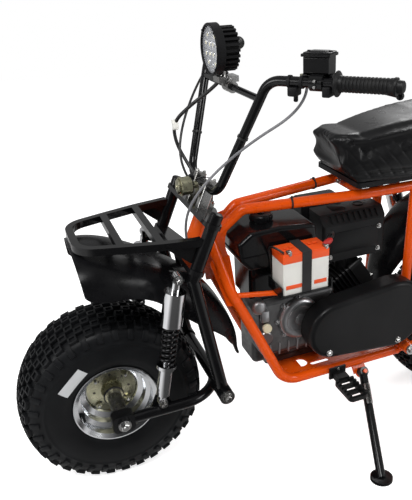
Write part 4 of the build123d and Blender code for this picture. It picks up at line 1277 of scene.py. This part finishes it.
@dataclass
class Wiring:
    """The brake hose and the wires between the handlebar and the head."""

    hose_radius: float = 3.2
    # the hose's route below the handlebar
    hose_route: tuple[Triple, ...] = (
        (-335, 172, 900), (-250, 110, 800), (-212, 84, 712), (-226, 60, 650),
    )
    # each wire's name, radius and route
    wires: tuple[tuple[str, float, tuple[Triple, ...]], ...] = (
        ("lamp_wire", 4.6, (
            (-372, 0, 1036), (-352, -30, 1000), (-300, -80, 950), (-262, -112, 905), (-266, -116, 850),
            (-285, -84, 800), (-300, -50, 760), (-306, -30, 706),
        )),
        ("throttle_cable", 3.2, (
            tuple(Controls().on_bar(165, -1, -8, -16)), (-400, -236, 1010), (-340, -176, 960),
            (-286, -120, 890), (-262, -84, 820), (-280, -52, 752), (-312, -34, 706),
        )),
        ("horn_wire", 2.0, (
            (-276, 2, 782), (-292, 12, 800), (-314, 10, 770), (-318, 4, 722), (-310, 2, 706),
        )),
    )
    connector: Triple = (-266, -108, 900)
    connector_size: Triple = (14, 13, 26)

    def build(self) -> None:
        """Makes the brake hose, the wires and the lamp wire's connector."""
        self.hose()
        for name, radius, points in self.wires:
            Line(name, points, radius, Body.STEERING, WIRE).cord()
        shape = Shape()
        place = Matrix.Translation(self.connector) @ Matrix.Rotation(0.4, 4, "X")
        shape.block(place, self.connector_size, 1.4)
        shape.piece("wire_connector", Body.STEERING, WHITE_PLASTIC)

    def hose(self) -> None:
        """The grey brake hose from the master cylinder down in front of the head."""
        grip = Controls()
        points = (
            tuple(grip.on_bar(grip.clamp + 36, 1, 30, -8)),
            tuple(grip.on_bar(grip.clamp + 40, 1, 44, -60)),
            *self.hose_route,
        )
        made = Line("hose_line", points, self.hose_radius, Body.STEERING, GREY_HOSE).cord()
        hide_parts("brake_hose")


@dataclass
class Engine:
    """Small pieces on the engine: cap, tank seam, bolts, pressings, starter slots and castings."""

    cap: Triple = (-444, 16, 652)
    cap_ribs: int = 24
    # the tank's seam: its middle and size
    seam: Triple = (-466, 0, 585)
    seam_size: Triple = (228, 181, 3)
    # the cylinder: its tilt in degrees, its foot, how far along it the head's top is, and its bolts' places
    tilt: float = 56.0
    foot: Triple = (-628, 0, 358)
    head_top: float = 162.0
    head_spread: Pair = (38, 36)
    # the recoil starter: x and z of its middle, and how many slots are round it at which radius
    starter_at: Pair = (-552, 316)
    slots: tuple[int, float] = (18, 74)
    # the silver side cover: x and z of its middle, how far out it is, and its bolts' radius
    side_at: Pair = (-522, 370)
    side_out: float = 99.4
    side_bolts: float = 64.0

    def build(self) -> None:
        """Makes the pieces on the tank, the head, the starter and the covers."""
        self.tank()
        self.head()
        self.starter()
        self.covers()

    def tank(self) -> None:
        """Ribbed filler cap and the tank's seam flange."""
        shape = Shape()
        place = Matrix.Translation(self.cap)
        shape.lathe(place, ((0, 29.5), (5, 30.5), (15, 30.5), (18, 28), (19, 20), (19.4, 6)), 48)
        for turned in around(place, self.cap_ribs):
            shape.block(turned @ Matrix.Translation((30.6, 0, 9)), (2.2, 3.6, 12), 0.6)
        shape.lathe(place, ((18, 12), (22, 11), (23, 8)), 6)
        shape.piece("fuel_cap", Body.FRAME, BLACK_PLASTIC)
        seam = Shape()
        seam.block(Matrix.Translation(self.seam), self.seam_size, 1.1, 14)
        seam.piece("tank_seam", Body.FRAME, BLACK_GLOSS)

    def head(self) -> None:
        """Head bolts, and the muffler guard's bolts and pressings."""
        steel = Shape()
        tilt = math.radians(self.tilt)
        out = Vector((-math.sin(tilt), 0, math.cos(tilt)))
        side = Vector((math.cos(tilt), 0, math.sin(tilt)))
        base = Vector(self.foot) + out * self.head_top
        across, along = self.head_spread
        for left in (-across, across):
            for up in (-along, along):
                steel.bolt(facing(base + side * up + Vector((0, left, 0)), out), 6.5, 6, 8)
        for x, z in ((-630, 520), (-784, 520), (-784, 588)):
            steel.bolt(facing((x, 62, z), LEFT), 5.5, 5, 7.5)
        steel.piece("head_bolts", Body.FRAME, STEEL)
        dimple = Shape()
        section = ((-0.4, 10), (0.8, 12), (2.0, 14), (0.8, 17), (-0.4, 18))
        dimple.ring(Matrix.Translation((-748, 4, 640)), section, 32)
        dimple.block(Matrix.Translation((-680, 2, 640.6)), (44, 40, 2.4), 1.0, 6)
        dimple.block(Matrix.Translation((-707, 62.4, 560)), (150, 2.4, 62), 1.0)
        dimple.piece("muffler_pressings", Body.FRAME, CAST_BLACK)

    def starter(self) -> None:
        """Slots round the pull starter, its middle plate, left blank, and its handle."""
        shape = Shape()
        x, z = self.starter_at
        count, radius = self.slots
        for number in range(count):
            angle = 2 * math.pi * number / count
            at = Matrix.Translation((x + radius * math.cos(angle), -118.6, z + radius * math.sin(angle)))
            shape.block(at @ Matrix.Rotation(-angle, 4, "Y"), (22, 2.2, 6), 0.9)
        shape.lathe(facing((x, -132, z), (0, -1, 0)), ((0, 34), (2.4, 33), (3.2, 28)), 40)
        shape.block(Matrix.Translation((-470, -106, 378)), (22, 22, 16), 4)
        shape.piece("starter_slots", Body.FRAME, MATTE_PLASTIC)

    def covers(self) -> None:
        """Bolts of the covers, the side cover's raised step, small castings and the oil plug."""
        steel = Shape()
        for x, z in ((-575, 287), (-800, 268)):
            steel.bolt(facing((x, 170, z), LEFT), 6.5, 6, 9.5)
        x, z = self.side_at
        for turn in (-90, -45, 0, 45, 90):
            angle = math.radians(turn)
            at = (x + self.side_bolts * math.cos(angle), 86.3, z + self.side_bolts * math.sin(angle))
            steel.bolt(facing(at, LEFT), 4.6, 5, 0)
        steel.piece("cover_bolts", Body.FRAME, STEEL)
        alloy = Shape()
        step = facing((x, self.side_out, z), LEFT)
        alloy.ring(step, ((0, 34), (0, 42), (2.2, 41), (2.2, 35)), 56)
        alloy.lathe(step, ((0, 17), (3, 16), (5, 12), (5.6, 4)), 32)
        alloy.lathe(facing((-404, 82, 428), LEFT), ((0, 21), (5, 20), (9, 16), (11, 9), (11.6, 3)), 32)
        alloy.block(Matrix.Translation((-420, 86, 398)), (24, 12, 34), 4)
        alloy.lathe(facing((-428, 60, 326), (0.2, 1, 0)), ((0, 20), (24, 20), (27, 17)), 24)
        for number in range(6):
            alloy.block(Matrix.Translation((-436 - 28 * number, 83, 282)), (4, 5, 36), 1.2)
        alloy.piece("side_castings", Body.FRAME, ALLOY)
        plug = Shape()
        plug.lathe(facing((-424, 84, 362), (0.1, 1, 0.1)), ((-4, 9), (4, 9), (5, 13), (13, 13), (15, 11)), 20)
        plug.piece("oil_plug", Body.FRAME, CREAM)


@dataclass
class Battery:
    """The battery's lid, terminals and leads, and its blank lower band."""

    middle: Triple = (-502, 133, 552)
    size: Triple = (130, 70, 108)
    # along the battery from its middle: the caps on the lid, and the terminals
    caps: tuple[float, ...] = (-42, -26, 26, 42)
    terminals: tuple[float, ...] = (46, -57)
    # the two parts of the band beside the strap: place along the battery and length
    bands: tuple[Pair, ...] = ((-40, 36), (29, 58))
    lead_radius: float = 3.0
    # the leads' routes, from the middle of the battery's top
    leads: tuple[tuple[str, tuple[Triple, ...]], ...] = (
        ("battery_lead_plus", (
            (-78, 17, 15), (-98, 4, 22), (-108, -40, 10), (-100, -60, -40), (-84, -64, -90),
        )),
        ("battery_lead_minus", (
            (60, 26, 8), (76, 14, 22), (80, -22, 10), (66, -42, -30), (56, -52, -90),
        )),
    )

    def build(self) -> None:
        """Makes the lid, the band, the terminals and the leads."""
        self.case()
        self.posts()
        x, y, z = self.middle
        top = z + self.size[2] / 2
        for name, route in self.leads:
            points = tuple((x + along, y + out, top + up) for along, out, up in route)
            Line(name, points, self.lead_radius, Body.FRAME, WIRE).cord()

    def case(self) -> None:
        """The lid with its caps, and the band."""
        x, y, z = self.middle
        wide, deep, high = self.size
        top = z + high / 2
        lid = Shape()
        lid.block(Matrix.Translation((x, y, top - 9.7)), (wide + 1.2, deep + 1.2, 21), 1.0, 4)
        lid.block(Matrix.Translation((x, y, top + 2.05)), (wide - 2.4, deep - 2.4, 4.3), 1.2, 3)
        for off in self.caps:
            lid.lathe(Matrix.Translation((x + off, y - 4, top + 6)), ((0, 6), (1.2, 6), (1.8, 4.4)), 16)
        lid.piece("battery_lid", Body.FRAME, BATTERY_ORANGE)
        band = Shape()
        for off, long in self.bands:
            band.block(Matrix.Translation((x + off, y + deep / 2 + 0.3, z - 33)), (long, 0.8, 11), 0.2)
        band.piece("battery_band", Body.FRAME, BATTERY_ORANGE)

    def posts(self) -> None:
        """The terminals, and the red cap on the plus lead."""
        x, y, z = self.middle
        top = z + self.size[2] / 2
        steel = Shape()
        for off in self.terminals:
            steel.block(Matrix.Translation((x + off, y + 26, top + 5)), (13, 13, 13), 1.5)
            steel.bolt(facing((x + off, y + 32.5, top + 5), LEFT), 5, 4, 0)
        steel.piece("battery_terminals", Body.FRAME, STEEL)
        cap = Shape()
        place = facing((x - 62, y + 22, top + 10), (-1, -0.3, 0.25))
        cap.lathe(place, ((-8, 6), (0, 8), (12, 8), (20, 5)), 20)
        cap.piece("terminal_cap", Body.FRAME, RED_RUBBER)


@dataclass
class Details:
    """Bolts, caps, spring and ties on the frame, the fork, the horn, the stand and the wheels."""

    # the wheels: name, axle and body
    wheels: tuple[tuple[str, Triple, Body], ...] = (
        ("front", (0, 0, 240), Body.FRONT_WHEEL), ("rear", (-1130, 0, 192), Body.REAR_WHEEL),
    )
    # nuts on both sides: place on the left, and the head's radius, height and washer
    fork_nuts: tuple[tuple[Triple, Triple], ...] = (
        ((-266, 188, 250), (9, 7, 13)), ((0, 174, 240), (11, 8, 0)),
        ((-168, 170, 603), (7, 5, 0)), ((-103, 170, 268), (7, 5, 0)),
    )
    frame_nuts: tuple[tuple[Triple, Triple], ...] = (
        ((-858, 164, 212), (10, 7, 0)), ((-1130, 166, 192), (11, 8, 0)), ((-968, 170, 622), (7, 5, 0)),
        ((-1098, 170, 232), (7, 5, 0)), ((-622, 140.4, 200.5), (4.4, 4, 5.2)),
    )
    # how many dark discs and studs are on a hub, and at which radius; the discs are painted shade where the
    # flange has holes
    hole_shades: tuple[int, float] = (8, 46)
    studs: tuple[int, float] = (4, 56)
    horn_at: Triple = (-230, 0, 772)
    # the stand's spring: start, direction, radius of its coils and wire, pitch and turns
    spring_start: Triple = (-687.7, 192, 163.8)
    spring_along: Triple = (0.277, 0.801, -0.531)
    spring_radius: float = 7.5
    spring_wire: float = 1.3
    spring_pitch: float = 3.4
    spring_turns: int = 17
    # each tie's place, direction and radius
    frame_ties: tuple[tuple, ...] = (
        ((-520, 43.5, 694), (1, -0.163, -0.015), 15.2), ((-640, -63, 696), (1, 0.163, -0.015), 15.2),
    )
    bar_ties: tuple[tuple, ...] = (
        ((-347.3, 147.7, 916), (-0.313, 0.31, 0.897), 12.4),
        ((-330.5, -131.2, 868), (-0.313, -0.31, 0.897), 12.4),
    )

    def build(self) -> None:
        """Makes each group of small pieces."""
        self.fork_bolts()
        self.frame_bolts()
        self.wheel_parts()
        self.horn()
        self.stand_spring()
        self.ties()

    def fork_bolts(self) -> None:
        """Nuts on the pivots and the spring units, the fork legs' caps and the head's cups."""
        steel = Shape()
        steel.both_sides(self.fork_nuts)
        steel.piece("fork_nuts", Body.STEERING, STEEL)
        caps = Shape()
        for side in (1, -1):
            place = facing(steered(37.7, side * 150, 43.5), STEER_UP)
            caps.lathe(place, ((0, 15.5), (2.5, 15), (4.5, 11), (5, 5)), 28)
        caps.piece("leg_caps", Body.STEERING, BLACK_PLASTIC)
        cups = Shape()
        for low, high in ((3, 9.4), (-95.4, -89)):
            place = facing(steered(0, 0, low), STEER_UP)
            cups.ring(place, ((0, 24.2), (0.6, 25.8), (high - low, 25.8), (high - low, 24.2)), 40)
        cups.piece("head_cups", Body.FRAME, STEEL)

    def frame_bolts(self) -> None:
        """Nuts on the rear pivots and units, the pegs' and the guard's bolts, and the seat's stud."""
        steel = Shape()
        steel.both_sides(self.frame_nuts)
        steel.bolt(facing((-1000, 103, 590), (0, 0.9, 0.3)), 5, 4, 7)
        stud = ((0, 9), (7, 9), (7, 5), (20, 5), (20, 8), (26, 8), (26, 5), (36, 5))
        steel.lathe(facing((-696, -16, 706), UP), stud, 20)
        steel.piece("frame_nuts", Body.FRAME, STEEL)

    def wheel_parts(self) -> None:
        """Each wheel's dark discs, painted shade where the flange has holes, and its seal, studs and valve.
        """
        for name, axle, body in self.wheels:
            wheel = facing(axle, LEFT)
            hub = Shape()
            # painted shade: dark discs stand where the flange has its ring of holes
            count, radius = self.hole_shades
            for turned in around(wheel, count):
                place = turned @ Matrix.Translation((radius, 0, 8.6))
                hub.lathe(place, ((0, 3.6), (0.9, 3.6), (1.1, 2.6)), 14)
            hub.ring(wheel, ((40, 24.4), (44, 24.4), (44.2, 26), (42, 27.4), (40, 27.4)), 40)
            hub.piece(f"{name}_hub_details", body, SEAL_AND_HOLE_SHADE)
            studs = Shape()
            count, radius = self.studs
            for turned in around(wheel, count, 45):
                foot, tip = (turned @ Matrix.Translation((radius, 0, out)) for out in (5.6, 14))
                studs.lathe(foot, ((0, 11), (1.2, 11), (1.6, 10)), 24)
                studs.lathe(tip, ((0, 4), (8, 4), (9, 3)), 14)
            studs.piece(f"{name}_wheel_studs", body, STEEL)
            valve = Shape()
            at = wheel @ Matrix.Rotation(math.radians(200), 4, "Z") @ Matrix.Translation((92, 0, 50))
            valve.lathe(at, ((-6, 5), (6, 4.4), (18, 3.4), (24, 3.4), (26, 2.4)), 16)
            valve.piece(f"{name}_valve", body, MATTE_PLASTIC)

    def horn(self) -> None:
        """The horn's domed face with its rim and middle nut, and its back with the plug."""
        shape = Shape()
        place = facing(self.horn_at, AHEAD)
        shape.lathe(place, ((0, 19), (1.4, 18.2), (3.0, 12), (3.6, 7), (5.4, 6.2), (6, 4)), 36)
        rim = place @ Matrix.Translation((0, 0, -8))
        shape.ring(rim, ((0, 22), (0, 24.2), (3, 24.4), (4, 23), (3, 22)), 40)
        shape.piece("horn_face", Body.STEERING, YELLOW_ZINC)
        back = Shape()
        back.lathe(facing((-262, 0, 772), (-1, 0, 0)), ((-2, 22.6), (3, 20), (6, 14), (7, 8)), 36)
        back.block(Matrix.Translation((-266, 0, 792)), (12, 16, 14), 3)
        back.piece("horn_back", Body.STEERING, BLACK_PLASTIC)

    def stand_spring(self) -> None:
        """The return spring between the stand's leg and the rail."""
        shape = Shape()
        start = Vector(self.spring_start)
        along = Vector(self.spring_along).normalized()
        side = along.cross(Vector(UP)).normalized()
        wire = bmesh.ops.create_circle(
            shape.mesh, cap_ends=False, segments=8, radius=self.spring_wire,
            matrix=facing(start + side * self.spring_radius, along.cross(side)),
        )["verts"]
        edges = list({e for v in wire for e in v.link_edges})
        steps = 16
        bmesh.ops.spin(
            shape.mesh, geom=wire + edges, cent=start, axis=along, dvec=along * (self.spring_pitch / steps),
            angle=2 * math.pi * self.spring_turns, steps=steps * self.spring_turns, use_duplicate=False,
        )
        shape.piece("stand_spring", Body.STAND, STEEL)

    def ties(self) -> None:
        """Cable ties round the top tubes and the handlebar."""
        for name, body, bands in (
            ("frame_ties", Body.FRAME, self.frame_ties), ("bar_ties", Body.STEERING, self.bar_ties),
        ):
            shape = Shape()
            for at, along, radius in bands:
                inner, outer = radius - 0.8, radius + 0.8
                shape.ring(facing(at, along), ((-2.4, inner), (-2.4, outer), (2.4, outer), (2.4, inner)), 32)
                shape.block(facing(Vector(at) + Vector((-2, 0, radius + 1.5)), along), (6, 5, 6), 0.8)
            shape.piece(name, body, WIRE)


@dataclass
class Studio:
    """Floor, lamps and the camera at the photograph's viewpoint."""

    # the camera in the bike's axes, its focal length and middle in pixels, and the picture's size
    eye: Triple = (169.11, 1433.11, 1285.42)
    right: Triple = (-0.920447, 0.389965, -0.026548)
    down: Triple = (0.187417, 0.380721, -0.905498)
    ahead: Triple = (-0.343005, -0.838438, -0.423519)
    focal: float = 630.82
    centre: Pair = (250.0, 250.0)
    frame: tuple[int, int] = (412, 500)
    sensor: float = 36.0
    # the world's light away from the viewer and toward them, and where it changes
    sky: Pair = (0.42, 0.04)
    sky_turn: Pair = (0.45, 0.85)
    # the floor: its colour, how metal sees it away from the viewer and toward them, and where that changes
    floor_colour: Triple = (0.85, 0.85, 0.85)
    floor_in_metal: Pair = (0.8, 0.07)
    floor_turn: Pair = (0.62, 0.86)
    floor_glow: float = 0.72
    # the direction toward the viewer
    facing: Triple = (0.36, 0.88, 0.30)
    # each lamp's name, place, size and power
    lamps: tuple[tuple[str, Triple, float, float], ...] = (
        ("key", (1.6, 2.2, 3.6), 1.7, 105),
        ("side", (3.4, 0.4, 1.9), 1.3, 34),
        ("back", (-2.4, -2.0, 3.0), 1.7, 42),
        ("rear_side", (-2.6, 2.6, 1.8), 1.2, 32),
    )
    lamps_aim: Triple = (0, 0, 0.5)

    def build(self) -> None:
        """Makes the camera, the floor, the world light and the lamps."""
        self.camera()
        self.floor()
        self.world()
        for name, place, size, power in self.lamps:
            self.lamp(name, Vector(place), size, power)
        bpy.context.scene.view_settings.view_transform = "Standard"

    def camera(self) -> None:
        """Sets the camera to the fitted viewpoint, with the crop's small shift."""
        data = bpy.data.cameras.new("camera")
        data.sensor_width = self.sensor
        data.lens = self.focal / max(self.frame) * self.sensor
        data.shift_x = (self.frame[0] / 2 - self.centre[0]) / max(self.frame)
        data.shift_y = (self.centre[1] - self.frame[1] / 2) / max(self.frame)
        data.clip_end = 50.0
        axes = Matrix((self.right, [-v for v in self.down], [-v for v in self.ahead])).transposed()
        stance = STANCE.matrix()
        pose = (stance.to_3x3().normalized() @ axes).to_4x4()
        pose.translation = stance @ Vector(self.eye)
        made = add_object("camera", data)
        made.matrix_world = pose
        bpy.context.scene.camera = made

    def lamp(self, name: str, place: Vector, size: float, power: float) -> None:
        """Puts up a soft area lamp that looks at the bike.

        Args:
            name: Its name.
            place: Where it is.
            size: The length of its side.
            power: Its power in watts.
        """
        data = bpy.data.lights.new(name, "AREA")
        data.size = size
        data.energy = power
        aim = (Vector(self.lamps_aim) - place).to_track_quat("-Z", "Y")
        add_object(name, data).matrix_world = Matrix.Translation(place) @ aim.to_matrix().to_4x4()

    def floor(self) -> None:
        """A wide white floor that keeps the bike's soft shadow."""
        mesh = bmesh.new()
        bmesh.ops.create_grid(mesh, x_segments=2, y_segments=2, size=14)
        data = bpy.data.meshes.new("floor")
        mesh.to_mesh(data)
        mesh.free()
        data.materials.append(self.floor_material())
        add_object("floor", data)

    def floor_material(self) -> bpy.types.Material:
        """Matt white that glows to the camera, and in metal is dark on the viewer's side.

        Returns:
            The material.
        """
        material = bpy.data.materials.new("studio_floor")
        material.use_nodes = True
        tree = material.node_tree
        shader = tree.nodes["Principled BSDF"]
        shader.inputs["Roughness"].default_value = 0.95
        shader.inputs["Specular IOR Level"].default_value = 0.0
        level = add_node(tree, "VectorMath", Vector=add_node(tree, "TexCoord").outputs["Object"])
        level.operation = "NORMALIZE"
        toward = add_toward(tree, level.outputs[0], self.facing)
        path = add_node(tree, "LightPath").outputs
        in_metal = add_span(tree, toward, self.floor_turn, self.floor_in_metal)
        colour = add_blend(tree, path["Is Glossy Ray"], (self.floor_colour, in_metal))
        tree.links.new(colour, shader.inputs["Base Color"])
        share = add_span(tree, path["Is Camera Ray"], (0.0, 1.0), (0.0, self.floor_glow))
        glow = add_node(tree, "Emission", Strength=share)
        add_surface(tree, "AddShader", (shader.outputs[0], glow.outputs[0]), "Material Output")
        return material

    def world(self) -> None:
        """White to the camera; for light and reflections grey, and dark on the viewer's side."""
        world = bpy.data.worlds.new("studio")
        world.use_nodes = True
        tree = world.node_tree
        sky = tree.nodes["Background"]
        sky.inputs["Color"].default_value = (1, 1, 1, 1)
        toward = add_toward(tree, add_node(tree, "TexCoord").outputs["Generated"], self.facing)
        tree.links.new(add_span(tree, toward, self.sky_turn, self.sky), sky.inputs["Strength"])
        bright = add_node(tree, "Background", Color=(1, 1, 1, 1), Strength=1.0)
        seen = add_node(tree, "LightPath").outputs["Is Camera Ray"]
        add_surface(tree, "MixShader", (seen, sky.outputs[0], bright.outputs[0]), "World Output")
        bpy.context.scene.world = world


def main() -> None:
    """Loads the frame, dresses it and builds every sub-assembly in order."""
    logging.basicConfig(level=logging.INFO)
    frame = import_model()
    Studio().build()
    dress_nodes(frame["nodes"])
    LOG.info("dressed %d nodes", len(frame["nodes"]))
    Wiring().build()
    front = Tyre("front", (0, 0, 240), Body.FRONT_WHEEL)
    front.build()
    front.label()
    Tyre("rear", (-1130, 0, 192), Body.REAR_WHEEL).build()
    Seat().build(frame["nodes"])
    Lamp().build()
    Controls().build()
    Engine().build()
    Battery().build()
    Details().build()


if __name__ == "__main__":
    main()
